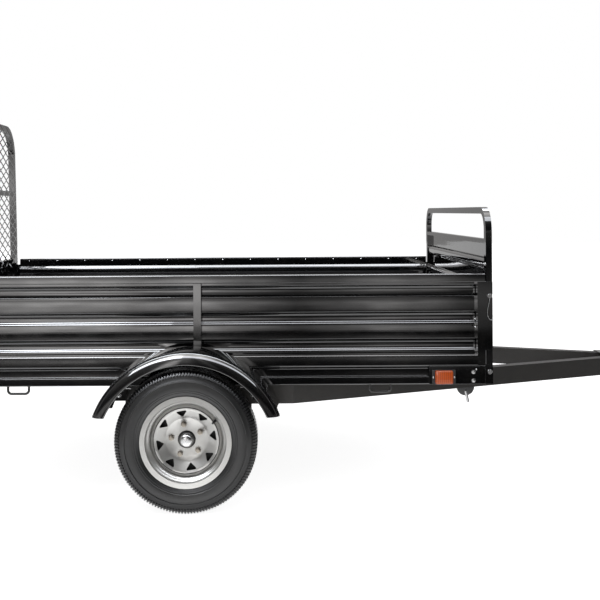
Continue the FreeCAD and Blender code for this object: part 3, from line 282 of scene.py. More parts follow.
def beam_paint(tree, place, tint):
    """Satin black chassis paint, brushed on thick over rolled channel: a dull brown grey sheen."""
    return {"Base Color": blend(tree, noise(tree, 0.06, place, 6.0, 0.6), tint, colour("#2C2925")),
            "Roughness": spread(tree, noise(tree, 0.02, place), 0.3, 0.7, 0.34, 0.5),
            "Normal": bump(tree, noise(tree, 1.8 * MM, place), 0.4, 0.1)}


def floor_enamel(tree, place, tint):
    """Thin black enamel on flat sheet: satin, with long faint rolling marks and pale scuffs."""
    rolled = noise(tree, 6 * MM, stretched(tree, place, 0.06), 4.0)
    scuff = spread(tree, noise(tree, 0.25, place, 8.0, 0.7), 0.55, 0.8, 0.0, 0.3)
    return {"Base Color": blend(tree, scuff, tint, colour("#56524C")),
            "Roughness": spread(tree, rolled, 0.0, 1.0, 0.25, 0.5),
            "Normal": bump(tree, rolled, 0.2, 0.15)}


def spring_steel(tree, place, tint):
    """Dark painted spring and axle steel: satin black with a sandy cast grain."""
    return {"Base Color": blend(tree, noise(tree, 0.05, place, 4.0), tint, colour("#2B2927")),
            "Roughness": 0.42, "Normal": bump(tree, noise(tree, 3 * MM, place, 4.0), 0.5, 0.25)}


def tyre_rubber(tree, place, tint):
    """Moulded tyre rubber: dull grey black with a little bloom, and dust held in the fine grain."""
    bloom = spread(tree, noise(tree, 0.05, place, 6.0, 0.6), 0.35, 0.75, 0.0, 0.4)
    return {"Base Color": blend(tree, bloom, tint, colour("#2B2A29")), "Roughness": 0.38,
            "Normal": bump(tree, noise(tree, 1.6 * MM, place, 2.0), 0.5, 0.12)}


def wheel_paint(tree, place, tint):
    """Silver wheel paint under clear lacquer: fine metal flake, soft grey away from the light."""
    return {"Base Color": blend(tree, noise(tree, 1.2 * MM, place, 2.0), tint, colour("#C4C3C0")),
            "Metallic": 0.55, "Roughness": 0.32, "Coat Weight": 0.5, "Coat Roughness": 0.08,
            "Normal": bump(tree, noise(tree, 0.03, place), 0.5, 0.3)}


def zinc_plate(tree, place, tint, rough):
    """Zinc plated steel: a bluish or brownish bright metal with fine cloudy bath marks."""
    cloud = noise(tree, 4 * MM, place, 5.0, 0.6)
    return {"Base Color": blend(tree, cloud, tint, colour("#8E8C88")), "Metallic": 1.0,
            "Roughness": spread(tree, cloud, 0.0, 1.0, rough - 0.08, rough + 0.14)}


def lens_plastic(tree, place, tint):
    """Moulded lamp plastic: clear coloured acrylic over a reflector, with a fine prism grid."""
    bands = [stripes(tree, 24 * MM, place, axis, Distortion=0.0, Detail=0.0) for axis in "ZX"]
    grid = maths(tree, "MULTIPLY", *bands)
    deep = [c * 0.45 for c in tint[:3]] + [1.0]
    return {"Base Color": blend(tree, grid, tint, deep), "Roughness": 0.12, "IOR": 1.49,
            "Normal": bump(tree, grid, 0.6, 0.5), "Subsurface Weight": 0.3,
            "Subsurface Radius": (0.9, 0.3, 0.1), "Subsurface Scale": 3 * MM}


def lanyard_wire(tree, place, tint):
    """Stranded steel wire: bright metal with a tight slanting lay, drawn coarse enough to show."""
    lay = stripes(tree, 6 * MM, place, "DIAGONAL", Distortion=0.5)
    return {"Base Color": blend(tree, lay, tint, colour("#C4C4C4")), "Metallic": 1.0,
            "Roughness": 0.35, "Normal": bump(tree, lay, 0.6, 0.2)}


def soft_rubber(tree, place, tint):
    """Black moulded rubber of valve stems, seams and lamp bases: dull and slightly dusty."""
    return {"Base Color": blend(tree, noise(tree, 8 * MM, place, 4.0), tint, colour("#2A2A2A")),
            "Roughness": 0.55}


def finish(name):
    """The named finish, made when it is first asked for."""
    chosen = bpy.context.scene.trailer_colours
    recipes = {
        COAT: (powder_coat, chosen.coat),
        "satin_chassis_paint": (beam_paint, chosen.beam),
        "floor_sheet_enamel": (floor_enamel, colour("#161616")),
        STEEL: (spring_steel, colour("#171717")),
        "moulded_tyre_rubber": (tyre_rubber, chosen.rubber),
        "silver_wheel_lacquer": (wheel_paint, chosen.wheel),
        ZINC: (zinc_plate, chosen.zinc, 0.2),
        "brown_zinc_plate": (zinc_plate, colour("#7F7566"), 0.34),
        "amber_acrylic_lens": (lens_plastic, chosen.amber),
        "red_acrylic_lens": (lens_plastic, chosen.red),
        "stranded_steel_wire": (lanyard_wire, colour("#6E6E6E")),
        RUBBER: (soft_rubber, colour("#0F0F10")),
    }
    made = bpy.data.materials.get(name)
    if not made:
        recipe, *given = recipes[name]
        made, tree, out, place = blank_material(name)
        shader = node(tree, "ShaderNodeBsdfPrincipled", recipe(tree, place, *given))
        tree.links.new(shader.outputs["BSDF"], out.inputs["Surface"])
    return made


# Mesh work

def add_object(name, data):
    """A new object in the scene."""
    made = bpy.data.objects.new(name, data)
    bpy.context.scene.collection.objects.link(made)
    return made


def new_piece(name, bm, body, material, nodes=(), sharp=35.0):
    """Makes the shown piece from a bmesh, with smooth faces parted at its sharp edges."""
    bmesh.ops.remove_doubles(bm, verts=bm.verts, dist=0.002 * MM)
    bmesh.ops.recalc_face_normals(bm, faces=bm.faces)
    mesh = bpy.data.meshes.new(name)
    bm.to_mesh(mesh)
    bm.free()
    mesh.polygons.foreach_set("use_smooth", [True] * len(mesh.polygons))
    mesh.set_sharp_from_angle(angle=math.radians(sharp))
    mesh.materials.append(finish(material))
    piece = add_object(name, mesh)
    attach(piece, body)
    if nodes:
        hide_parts(*nodes)
    return piece


def soften(piece, width):
    """Rounds the piece's sharp edges by a small bevel."""
    with_settings(piece.modifiers.new("softened_edges", "BEVEL"), width=width, segments=2,
                  limit_method="ANGLE", angle_limit=math.radians(40.0), harden_normals=True)
    return piece


def thicken(piece, thickness, offset):
    """Gives a piece a wall in millimetres, on its outside for an offset of 1, inside for -1."""
    with_settings(piece.modifiers.new("sheet_wall", "SOLIDIFY"), thickness=thickness * MM,
                  offset=offset)
    return piece


def true_flats(piece):
    """Keeps large flats flat in the light, so that only the bends beside them shade round."""
    with_settings(piece.modifiers.new("true_flats", "WEIGHTED_NORMAL"), mode="FACE_AREA",
                  weight=50, keep_sharp=True)
    return piece


def node_copy(source):
    """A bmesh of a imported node, with the vertices that its triangles share joined."""
    bm = bmesh.new()
    bm.from_mesh(frame["nodes"][source].data)
    bmesh.ops.remove_doubles(bm, verts=bm.verts, dist=0.01 * MM)
    return bm


def dress(source, material, width=None):
    """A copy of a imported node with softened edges, which stands for the node."""
    bm = node_copy(source)
    bmesh.ops.dissolve_limit(bm, angle_limit=math.radians(0.8), use_dissolve_boundaries=False,
                             verts=bm.verts, edges=bm.edges, delimit=set())
    body = body_of(frame["nodes"][source])[0]
    piece = new_piece(source + "_dressed", bm, body, material, [source])
    return soften(piece, width or bpy.context.scene.trailer_sizes.steel_edge)


def block(corner, opposite):
    """A bmesh of a block between two opposite corners."""
    bm = bmesh.new()
    size = [abs(run) for run in opposite - corner]
    placed = Matrix.Translation((corner + opposite) / 2) @ Matrix.Diagonal((*size, 1))
    bmesh.ops.create_cube(bm, size=1.0, matrix=placed)
    return bm


def facing(place, axis):
    """The move that takes the origin to a place, and +Z to the given direction."""
    turn = UP.rotation_difference(axis.normalized())
    return Matrix.Translation(place) @ turn.to_matrix().to_4x4()


def round_into(bm, start, end, radius, far_radius=None, segments=20):
    """Adds a round bar or a cone between two points, all in metres."""
    run = end - start
    return bmesh.ops.create_cone(bm, cap_ends=True, segments=segments, radius1=radius,
                                 radius2=far_radius or radius, depth=run.length,
                                 matrix=facing((start + end) / 2, run))["verts"]


def round_edges(bm, edges, width, segments=2):
    """Rounds edges by a width in millimetres."""
    bmesh.ops.bevel(bm, geom=edges, offset=width * MM, offset_type="OFFSET", segments=segments,
                    profile=0.5, affect="EDGES", material=-1)


def line_into(bm, points, closed=False):
    """Adds a line of vertices joined by edges."""
    verts = [bm.verts.new(point) for point in points]
    for pair in list(zip(verts, verts[1:])) + ([(verts[-1], verts[0])] if closed else []):
        bm.edges.new(pair)
    return verts


def bent_line_into(bm, corners, place, closed=False):
    """Adds a line through (a, b, radius) corners in millimetres, each rounded to its radius."""
    verts = line_into(bm, [place(a, b) for a, b, radius in corners], closed)
    for vert, (a, b, radius) in zip(verts, corners):
        if not radius:
            continue
        first, second = (edge.other_vert(vert).co - vert.co for edge in vert.link_edges)
        turn = math.pi - first.angle(second)
        bmesh.ops.bevel(bm, geom=[vert], offset=radius * MM * math.tan(turn / 2),
                        offset_type="OFFSET", segments=4, profile=0.5, affect="VERTICES",
                        material=-1, clamp_overlap=True)


def shift(bm, made, push):
    """Moves the vertices among the elements that an operator has made."""
    verts = [item for item in made["geom"] if isinstance(item, bmesh.types.BMVert)]
    bmesh.ops.translate(bm, vec=push, verts=verts)


def all_of(bm):
    """Every element of a bmesh."""
    return bm.verts[:] + bm.edges[:] + bm.faces[:]


def add_part(bm, part, move):
    """Adds one bmesh to another, moved by a matrix, and frees it."""
    bmesh.ops.transform(part, matrix=move, verts=part.verts)
    mesh = bpy.data.meshes.new("part")
    part.to_mesh(mesh)
    part.free()
    bm.from_mesh(mesh)
    bpy.data.meshes.remove(mesh)


def lathe(profile, centre, side, segments=64):
    """A bmesh turned about an axis across the trailer, from (radius, outward offset) in mm."""
    bm = bmesh.new()
    line_into(bm, [Vector((r * MM, side * w * MM, 0)) for r, w in profile])
    bmesh.ops.spin(bm, geom=all_of(bm), cent=(0, 0, 0), axis=Y_AXIS, angle=2 * math.pi,
                   steps=segments, use_merge=True)
    bmesh.ops.remove_doubles(bm, verts=bm.verts, dist=0.001 * MM)
    bmesh.ops.holes_fill(bm, edges=bm.edges, sides=0)
    bmesh.ops.translate(bm, vec=centre, verts=bm.verts)
    return bm


def on_circle(centre, radius, degrees, out):
    """A point on an upright circle in mm round a centre, moved across the trailer."""
    angle = math.radians(degrees)
    return centre + Vector((radius * math.cos(angle), out, radius * math.sin(angle))) * MM


def hex_bolt(bm, place, axis, flats, washer, stud=0.0):
    """Adds a hexagon head on its washer, facing along the axis, with a stud end if it is a nut."""
    part = bmesh.new()
    sunk = 1.4
    top = (sunk + flats * 0.5) * MM
    round_into(part, Vector(), UP * 1.6 * MM, washer * MM, washer * MM * 0.96, 24)
    head = round_into(part, UP * sunk * MM, UP * top, flats * MM / math.sqrt(3), None, 6)
    round_edges(part, [edge for edge in part.edges if all(vert in head for vert in edge.verts)
                       and min(vert.co.z for vert in edge.verts) > 2 * MM], flats * 0.06)
    if stud:
        round_into(part, UP * 2 * MM, UP * (top + stud * MM), flats * 0.3 * MM,
                   flats * 0.26 * MM, 14)
    add_part(bm, part, facing(place, axis))


def dome_screw(bm, place, axis, radius, height=2.6):
    """Adds a round screw or rivet head, facing along the axis."""
    part = bmesh.new()
    round_into(part, Vector(), UP * height * MM, radius * MM, radius * MM * 0.75, 16)
    round_edges(part, [edge for edge in part.edges
                       if all(vert.co.z > height * 0.9 * MM for vert in edge.verts)], radius * 0.35)
    add_part(bm, part, facing(place, axis))


def pressed_line(top, bottom, first_groove):
    """Corners of one pressed sheet from top to bottom, as (depth, height, radius) in mm."""
    sizes = bpy.context.scene.trailer_sizes
    crisp, soft, crown = (size / MM for size in (sizes.crisp_bend, sizes.soft_bend,
                                                 sizes.sheet_crown))
    corners = [(0.0, top, 0.0)]
    groove = first_groove
    while groove - GROOVE_HEIGHT > bottom:
        last_height = corners[-1][1]
        if last_height - groove > WIDE_FLAT:
            corners.append((-crown, (last_height + groove) / 2, CROWN_RADIUS))
        low = groove - GROOVE_HEIGHT
        corners += [(0.0, groove, crisp), (GROOVE_DEPTH, groove - GROOVE_SLOPE, soft),
                    (GROOVE_DEPTH, low + GROOVE_SLOPE, soft), (0.0, low, soft)]
        groove -= GROOVE_PITCH
    corners.append((0.0, bottom, 0.0))
    return corners


def pressed_sheet(name, corners, place, push, body, node_name):
    """Draws a pressed sheet out from its line and gives it its wall."""
    bm = bmesh.new()
    bent_line_into(bm, corners, place)
    shift(bm, bmesh.ops.extrude_edge_only(bm, edges=bm.edges[:]), push)
    bmesh.ops.recalc_face_normals(bm, faces=bm.faces)
    inward = place(1.0, 0.0) - place(0.0, 0.0)
    if sum(face.normal.dot(inward) * face.calc_area() for face in bm.faces) > 0:
        bmesh.ops.reverse_faces(bm, faces=bm.faces)
    bmesh.ops.solidify(bm, geom=bm.faces[:], thickness=SHEET_WALL * MM)
    true_flats(new_piece(name, bm, body, COAT, [node_name], 30.0))


class TRAILER_OT_side_panels(bpy.types.Operator):
    """Grooved sheets that line the inside of both sides, one piece a side"""

    bl_idname = "trailer.side_panels"
    bl_label = "Side Panels"

    def execute(self, context):
        rear, run = -1028.0, (2157.0 * MM, 0, 0)
        for side, name in SIDES:
            pressed_sheet("pressed_side_sheet_" + name, pressed_line(850.0, 514.0, 816.0),
                          lambda depth, height: at(rear, side * (RAIL_INSIDE - depth), height),
                          run, "chassis", "side_panel_" + name)
        return {"FINISHED"}


class TRAILER_OT_rails(bpy.types.Operator):
    """Rolled top rails with rivets along their inner lips, and the grooved bottom rails"""

    bl_idname = "trailer.rails"
    bl_label = "Rails"

    def execute(self, context):
        # Outlines as (distance from the middle, height, radius)
        top_outline = [(TOP_RAIL_FACE, 858.0, 4.0), (TOP_RAIL_FACE, 827.0, 3.0),
                       (RAIL_INSIDE, 827.0, 2.0), (RAIL_INSIDE, 858.0, 3.0)]
        low_outline = [(RAIL_INSIDE, 437.0, 2.0), (RAIL_FACE, 437.0, 4.0), (RAIL_FACE, 466.0, 1.5),
                       (769.0, 469.0, 2.0), (769.0, 498.0, 6.0), (RAIL_FACE, 507.0, 8.0),
                       (RAIL_FACE, 546.0, 2.5), (778.0, 549.0, 2.0), (RAIL_INSIDE, 549.0, 2.0)]
        for side, name in SIDES:
            for rail, outline, rear, front in (("top", top_outline, -1030.0, 1131.0),
                                               ("bottom", low_outline, -1001.0, 1102.0)):
                bm = bmesh.new()
                bent_line_into(bm, outline, lambda y, z: at(rear, side * y, z), closed=True)
                face = bmesh.ops.contextual_create(bm, geom=bm.edges[:])["faces"]
                made = bmesh.ops.extrude_face_region(bm, geom=face, use_keep_orig=True)
                shift(bm, made, ((front - rear) * MM, 0, 0))
                true_flats(new_piece(f"{rail}_rail_rolled_{name}", bm, "chassis", COAT,
                                     [f"{rail}_rail_{name}"], 30.0))
            dots = bmesh.new()
            for index in range(15):
                dome_screw(dots, at(-980.0 + index * 147.0, side * 749.1, 846.0),
                           Vector((0, -side, 0)), 3.2, 1.6)
            new_piece("rail_lip_rivets_" + name, dots, "chassis", ZINC)
        return {"FINISHED"}


class TRAILER_OT_steelwork(bpy.types.Operator):
    """Posts, frame, gates, coupler, springs and axle with softened edges and their paint"""

    bl_idname = "trailer.steelwork"
    bl_label = "Steelwork"

    def execute(self, context):
        for material, slot, sources in (
                (COAT, BLACK, "posts_left posts_right sills floor_crossmembers lamp_plates "
                              "fender_braces beam_lugs"),
                ("satin_chassis_paint", "beam_paint", "tongue_beam_left tongue_beam_right"),
                (COAT, BLACK, "coupler"), (ZINC, "zinc", "coupler_latch"),
                (STEEL, "dark_steel", "axle leaf_springs spring_hangers"),
                (COAT, BLACK, "jack_tube jack_crank"), (ZINC, "zinc", "jack_leg"),
                (COAT, BLACK, "front_gate_loop ramp_frame ramp_sheet"),
                ("floor_sheet_enamel", "floor_enamel", "deck_floor")):
            for source in sources.split():
                dress(source, material)
        for source in ("front_gate_pins", "ramp_gate_pins"):
            dress(source, ZINC, 0.2 * MM)
        thicken(dress("tie_loops", STEEL), 0.8, 1.0)
        for side, name in SIDES:
            new_piece("pressed_wheel_" + name, node_copy("rim_" + name), "wheel_" + name,
                      "silver_wheel_lacquer", ["rim_" + name], 24.0)
        return {"FINISHED"}


class TRAILER_OT_fenders(bpy.types.Operator):
    """Rolled fenders with a rounded outer corner and a beaded lip"""

    bl_idname = "trailer.fenders"
    bl_label = "Fenders"

    def execute(self, context):
        # The section as (radius, distance from the trailer's middle, radius of the bend)
        profile = [(372.0, 782.0, 0.0), (372.0, 980.0, 42.0), (328.0, 980.0, 3.0),
                   (325.5, 977.0, 2.5), (326.0, 972.0, 0.0)]
        centre_high, end_high = 217.0, 353.0
        for side, name in SIDES:
            bm = bmesh.new()
            bent_line_into(bm, profile, lambda r, y: Vector((r * MM, side * y * MM, 0)))
            bmesh.ops.spin(bm, geom=all_of(bm), cent=(0, 0, 0), axis=Y_AXIS,
                           angle=-math.pi, steps=96)
            bmesh.ops.translate(bm, vec=at(0, 0, centre_high), verts=bm.verts)
            bmesh.ops.bisect_plane(bm, geom=all_of(bm), plane_co=at(0, 0, end_high),
                                   plane_no=-UP, clear_outer=True)
            piece = new_piece("rolled_fender_" + name, bm, "chassis", COAT, ["fender_" + name],
                              40.0)
            true_flats(thicken(piece, SHEET_WALL, -1.0))
        return {"FINISHED"}


class TRAILER_OT_tyres(bpy.types.Operator):
    """Tyres with shoulder lugs, tread ribs and fine rings on their sidewalls"""

    bl_idname = "trailer.tyres"
    bl_label = "Tyres"

    def execute(self, context):
        sizes = context.scene.trailer_sizes
        depth = sizes.tread_depth / MM
        # Half of the section, as (radius, offset from the tyre's middle)
        wall = [(153.2, 52.0), (154.0, 56.3), (169.5, 57.2), (173.0, 60.0), (180.0, 63.2),
                (182.0, 64.6), (184.0, 64.0), (188.0, 65.4), (189.0, 66.8), (190.5, 66.8),
                (191.5, 66.2), (196.0, 67.4), (211.0, 69.0), (221.0, 67.6), (222.0, 70.0),
                (223.5, 70.6), (229.5, 67.6), (232.6, 65.6), (238.0, 64.4)]
        shoulder = [(242.0, 63.0), (247.0, 60.4), (250.5, 57.4), (254.0, 52.6)]
        crown = [(TYRE_RADIUS - depth, offset) for offset in (45.0, 33.0, 29.0, 8.0, 4.0)]
        half = wall + shoulder + crown
        profile = half + [(r, -w) for r, w in half[::-1]]
        step = 2 * math.pi / sizes.tread_pitches
        lug_share = 0.58
        for side, name in SIDES:
            bm = bmesh.new()
            line_into(bm, [Vector((r * MM, w * MM, 0)) for r, w in profile])
            lug = bmesh.ops.spin(bm, geom=all_of(bm), cent=(0, 0, 0), axis=Y_AXIS,
                                 angle=step * lug_share, steps=1)
            lug_faces = bm.faces[:]
            bmesh.ops.spin(bm, geom=lug["geom_last"], cent=(0, 0, 0), axis=Y_AXIS,
                           angle=step * (1 - lug_share), steps=1)
            bm.normal_update()
            raised = []
            for face in bm.faces:
                centre = face.calc_center_median()
                radius = math.hypot(centre.x, centre.z) / MM
                offset = abs(centre.y) / MM
                on_lug = face in lug_faces and radius > 240.0 and offset > 34.0
                on_rib = radius > 250.0 and (8.5 < offset < 28.5 or offset < 3.5)
                if on_lug or on_rib:
                    raised.append(face)
            if sum(face.normal.x for face in raised) < 0:
                bmesh.ops.reverse_faces(bm, faces=bm.faces)
            bmesh.ops.inset_region(bm, faces=raised, use_boundary=True, use_even_offset=True,
                                   thickness=0.5 * MM, depth=depth * MM)
            bmesh.ops.spin(bm, geom=all_of(bm), cent=(0, 0, 0), axis=Y_AXIS, angle=2 * math.pi,
                           steps=sizes.tread_pitches, use_duplicate=True, use_merge=True)
            bmesh.ops.remove_doubles(bm, verts=bm.verts, dist=0.05 * MM)
            bmesh.ops.translate(bm, vec=at(0, side * WHEEL_SIDE, TYRE_RADIUS), verts=bm.verts)
            new_piece("treaded_tyre_" + name, bm, "wheel_" + name, "moulded_tyre_rubber",
                      ["tyre_" + name], 32.0)
        return {"FINISHED"}


class TRAILER_OT_hubs(bpy.types.Operator):
    """Hubs with their dust caps, dark discs of painted shade behind the wheels' windows, dark rings
    of painted shade at the wheel discs' seams, wheel nuts on studs and valve stems
    """

    bl_idname = "trailer.hubs"
    bl_label = "Hubs"

    def execute(self, context):
        # Sections as (radius, outward offset)
        # The hub's section runs out into a dark disc 127 mm round behind the wheel's windows:
        # painted shade, standing for the shaded space inside the wheel
        hub_and_shade_disc = [(13.0, -80.0), (36.0, -80.0), (36.0, -29.0), (127.0, -29.0), (127.0, -27.0),
                  (36.0, -27.0), (36.0, -14.0), (72.0, -14.0), (72.0, -2.2), (30.0, -2.0),
                  (30.0, 8.0), (29.0, 10.0), (20.0, 10.0)]
        # A black ring at the disc's joint with the rim: painted shade of the crease there
        seam_shade_ring = [(119.6, 24.8), (120.2, 26.5), (122.6, 25.6), (123.2, 23.4), (119.6, 24.8)]
        cap = [(22.0, 8.0), (25.0, 8.5), (26.0, 10.0), (25.0, 12.0), (24.0, 13.0), (24.0, 27.0),
               (22.5, 31.0), (18.0, 34.5), (10.0, 36.0), (1.0, 36.0)]
        valve = [(0.6, 0.0), (8.0, 0.0), (8.0, 3.0), (5.5, 6.0), (4.2, 24.0), (3.9, 25.0),
                 (3.9, 34.0), (3.0, 35.0), (0.6, 35.0)]
        nut_circle, first_nut = 57.15, 100.6
        valve_circle, valve_turn, valve_lean = 134.0, 34.0, -28.0
        for side, name in SIDES:
            centre = at(0, side * WHEEL_SIDE, TYRE_RADIUS)
            body = "wheel_" + name
            soften(new_piece("hub_and_shade_disc_" + name, lathe(hub_and_shade_disc, centre, side), body, STEEL,
                             ["hub_" + name]), 0.8 * MM)
            new_piece("disc_seam_shade_ring_" + name, lathe(seam_shade_ring, centre, side), body, RUBBER)
            new_piece("dust_cap_" + name, lathe(cap, centre, side, 48), body, ZINC)
            nuts = bmesh.new()
            for index in range(5):
                part = bmesh.new()
                round_into(part, Vector(), UP * 5 * MM, 8.0 * MM, 10.5 * MM, 24)
                head = round_into(part, UP * 5 * MM, UP * 15 * MM, 17 * MM / math.sqrt(3), None, 6)
                round_edges(part, [edge for edge in part.edges
                                   if all(vert in head for vert in edge.verts)], 1.0)
                round_into(part, UP * 10 * MM, UP * 17.5 * MM, 6 * MM, 5.2 * MM, 16)
                place = on_circle(centre, nut_circle, first_nut + 72.0 * index, side * 2.0)
                add_part(nuts, part, facing(place, Vector((0, side, 0))))
            new_piece("wheel_nuts_" + name, nuts, body, "brown_zinc_plate")
            stem = lathe(valve, Vector(), side, 20)
            lean = Matrix.Rotation(math.radians(valve_lean) * side, 4, "X")
            around = Matrix.Rotation(math.radians(90.0 - valve_turn), 4, "Y")
            place = Matrix.Translation(on_circle(centre, valve_circle, valve_turn, side * 12.0))
            bmesh.ops.transform(stem, matrix=place @ around @ lean, verts=stem.verts)
            new_piece("valve_stem_" + name, stem, body, RUBBER)
        return {"FINISHED"}


class TRAILER_OT_front_gate(bpy.types.Operator):
    """Grooved sheet of the front gate"""

    bl_idname = "trailer.front_gate"
    bl_label = "Front Gate"

    def execute(self, context):
        face, half_width = 1155.0, 740.0
        pressed_sheet("front_gate_pressed_sheet", pressed_line(972.0, 500.0, 917.0),
                      lambda depth, height: at(face - depth, -half_width, height),
                      (0, 2 * half_width * MM, 0), "front_gate", "front_gate_sheet")
        return {"FINISHED"}


class TRAILER_OT_ramp_mesh(bpy.types.Operator):
    """Expanded metal of the ramp gate: zigzag strands joined where they touch"""

    bl_idname = "trailer.ramp_mesh"
    bl_label = "Ramp Mesh"

    def execute(self, context):
        strand = context.scene.trailer_sizes.strand_width
        wide, high, bond = 101.6 * MM, 47.0 * MM, 6.0 * MM
        half_y, bottom, top, corner = 773.0 * MM, 448.0 * MM, 1550.0 * MM, 147.0 * MM
        columns = math.ceil(2 * half_y / wide) + 1
        rows = math.ceil((top - bottom) / (high / 2)) + 2
        rise = high / 2 - strand
        # One period of a strand, then one row, then all rows
        strip = bmesh.new()
        line_into(strip, [Vector((0, y, z)) for y, z in (
            (0, 0), (bond, 0), (wide / 2 - bond, rise), (wide / 2 + bond, rise),
            (wide - bond, 0), (wide, 0))])
        shift(strip, bmesh.ops.extrude_edge_only(strip, edges=strip.edges[:]),
              (1.4 * MM, 0, strand))
        bmesh.ops.recalc_face_normals(strip, faces=strip.faces)
        bmesh.ops.solidify(strip, geom=strip.faces[:], thickness=1.8 * MM)
        period = all_of(strip)
        for column in range(1, columns):
            shift(strip, bmesh.ops.duplicate(strip, geom=period), (0, column * wide, 0))
        bmesh.ops.remove_doubles(strip, verts=strip.verts, dist=0.01 * MM)
        bm = bmesh.new()
        for row in range(rows):
            aside = (row % 2) * wide / 2
            add_part(bm, strip.copy(), Matrix.Translation((
                0, -columns * wide / 2 - aside + wide / 4, bottom - high / 2 + row * high / 2)))
        strip.free()
        # The gate's outline, with its rounded upper corners
        cuts = [(Y_AXIS * half_y, Y_AXIS), (Y_AXIS * -half_y, -Y_AXIS), (UP * bottom, -UP),
                (UP * top, UP)]
        for side, name in SIDES:
            hub = Vector((0, side * (half_y - corner), top - corner))
            for angle in (math.radians(degrees) for degrees in (15, 30, 45, 60, 75)):
                out = Vector((0, side * math.cos(angle), math.sin(angle)))
                cuts.append((hub + out * corner, out))
        for place, out in cuts:
            made = bmesh.ops.bisect_plane(bm, geom=all_of(bm), plane_co=place, plane_no=out,
                                          clear_outer=True)
            bmesh.ops.holes_fill(bm, edges=[item for item in made["geom_cut"]
                                            if isinstance(item, bmesh.types.BMEdge)], sides=0)
        lean = Matrix.Rotation(math.radians(-1.0), 4, "Y")
        hinge = Matrix.Translation(at(-1057.0, 0, 460.0))
        face = Matrix.Translation((at(-1042.0, 0, 0).x + 0.2 * MM, 0, 0))
        bmesh.ops.transform(bm, matrix=hinge @ lean @ hinge.inverted() @ face, verts=bm.verts)
        new_piece("ramp_expanded_metal", bm, "ramp_gate", COAT,
                  ["ramp_mesh_front", "ramp_mesh_back"], 30.0)
        return {"FINISHED"}


class TRAILER_OT_lamps(bpy.types.Operator):
    """Amber marker lamps and red tail lamps"""

    bl_idname = "trailer.lamps"
    bl_label = "Lamps"

    def execute(self, context):
        base_face, lens_face, tail_rear = 787.0, 800.0, -1018.0
        for side, name in SIDES:
            lens = block(at(938.0, side * CORNER_FACE, 439.0), at(1005.0, side * lens_face, 490.0))
            round_edges(lens, [edge for edge in lens.edges if any(
                abs(vert.co.y) > (lens_face - 0.1) * MM for vert in edge.verts)], 5.0, 3)
            new_piece("marker_lens_" + name, lens, "chassis", "amber_acrylic_lens",
                      ["marker_lamps"])
            base = block(at(926.0, side * CORNER_FACE, 437.0), at(1016.0, side * base_face, 492.0))
            soften(new_piece("marker_base_" + name, base, "chassis", RUBBER), 1.5 * MM)
            screws = bmesh.new()
            for x in (931.0, 1011.0):
                dome_screw(screws, at(x, side * base_face, 464.0), Vector((0, side, 0)), 4.0)
            new_piece("marker_screws_" + name, screws, "chassis", ZINC)
            tail = block(at(tail_rear, side * 643.0, 366.0), at(-1008.0, side * 757.0, 436.0))
            round_edges(tail, [edge for edge in tail.edges if all(
                vert.co.x < at(tail_rear + 0.1, 0, 0).x for vert in edge.verts)], 5.0, 3)
            new_piece("tail_lens_" + name, tail, "chassis", "red_acrylic_lens", ["tail_lamps"])
            shell = block(at(-1010.0, side * 642.0, 365.0), at(-973.0, side * 758.0, 437.0))
            soften(new_piece("tail_shell_" + name, shell, "chassis", RUBBER), 4 * MM)
        return {"FINISHED"}


class TRAILER_OT_fasteners(bpy.types.Operator):
    """Bolts, screws and pins of the front corners, the fender braces, the beams and the jack"""

    bl_idname = "trailer.fasteners"
    bl_label = "Fasteners"

    def execute(self, context):
        for side, name in SIDES:
            out = Vector((0, side, 0))
            bolts = bmesh.new()
            for z in (483.0, 450.5):
                hex_bolt(bolts, at(1084.5, side * CORNER_FACE, z), out, 11.0, 8.5)
            for x, z in ((-270.0, 403.5), (242.5, 402.0)):
                hex_bolt(bolts, at(x, side * RAIL_FACE, z), out, 13.0, 10.0, 4.0)
            for x, y, z in ((1093.5, RAIL_FACE, 685.2), (1093.5, RAIL_FACE, 654.7),
                            (1096.2, CORNER_FACE, 492.4)):
                dome_screw(bolts, at(x, side * y, z), out, 3.0, 1.5)
            # Short bars above the brace bolts, then the sleeve of the pin under the beam
            for start, end, z in ((-256.0, -222.0, 430.0), (193.6, 215.6, 432.7)):
                round_into(bolts, at(start, side * TOP_RAIL_FACE, z),
                           at(end, side * TOP_RAIL_FACE, z), 3.2 * MM)
            round_into(bolts, at(1125.4, side * 396.7, 342.0), at(1135.0, side * 396.7, 296.5),
                       6.0 * MM)
            new_piece("corner_bolts_" + name, bolts, "chassis", ZINC)
        jack = bmesh.new()
        for angle in (math.radians(degrees) for degrees in (30.0, 150.0, 270.0)):
            hex_bolt(jack, at(1870.0 + 38.0 * math.cos(angle), 38.0 * math.sin(angle), 448.0), UP,
                     12.0, 9.5)
        new_piece("jack_flange_bolts", jack, "chassis", ZINC)
        return {"FINISHED"}


class TRAILER_OT_lanyards(bpy.types.Operator):
    """Wire lanyards of the front lock pins"""

    bl_idname = "trailer.lanyards"
    bl_label = "Lanyards"

    def execute(self, context):
        route = [(1148.0, 787.8, 763.7), (1144.0, 787.8, 740.0), (1138.0, 786.8, 714.0),
                 (1141.0, 785.8, 690.0), (1156.0, 784.8, 678.0), (1170.0, 779.8, 688.0),
                 (1172.0, 761.8, 694.0), (1160.0, 761.8, 694.0)]
        for side, name in SIDES:
            places = [at(x, side * y, z) for x, y, z in route]
            curve = with_settings(bpy.data.curves.new("lanyard_wire_" + name, "CURVE"),
                                  dimensions="3D", bevel_depth=1.0 * MM, bevel_resolution=3,
                                  resolution_u=12, use_fill_caps=True)
            spline = curve.splines.new("NURBS")
            spline.points.add(len(places) - 1)
            for point, place in zip(spline.points, places):
                point.co = (*place, 1.0)
            spline.order_u = 3
            spline.use_endpoint_u = True
            curve.materials.append(finish("stranded_steel_wire"))
            wire = add_object("lanyard_wire_" + name, curve)
            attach(wire, "front_gate")
            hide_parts("lanyard_" + name)
        return {"FINISHED"}


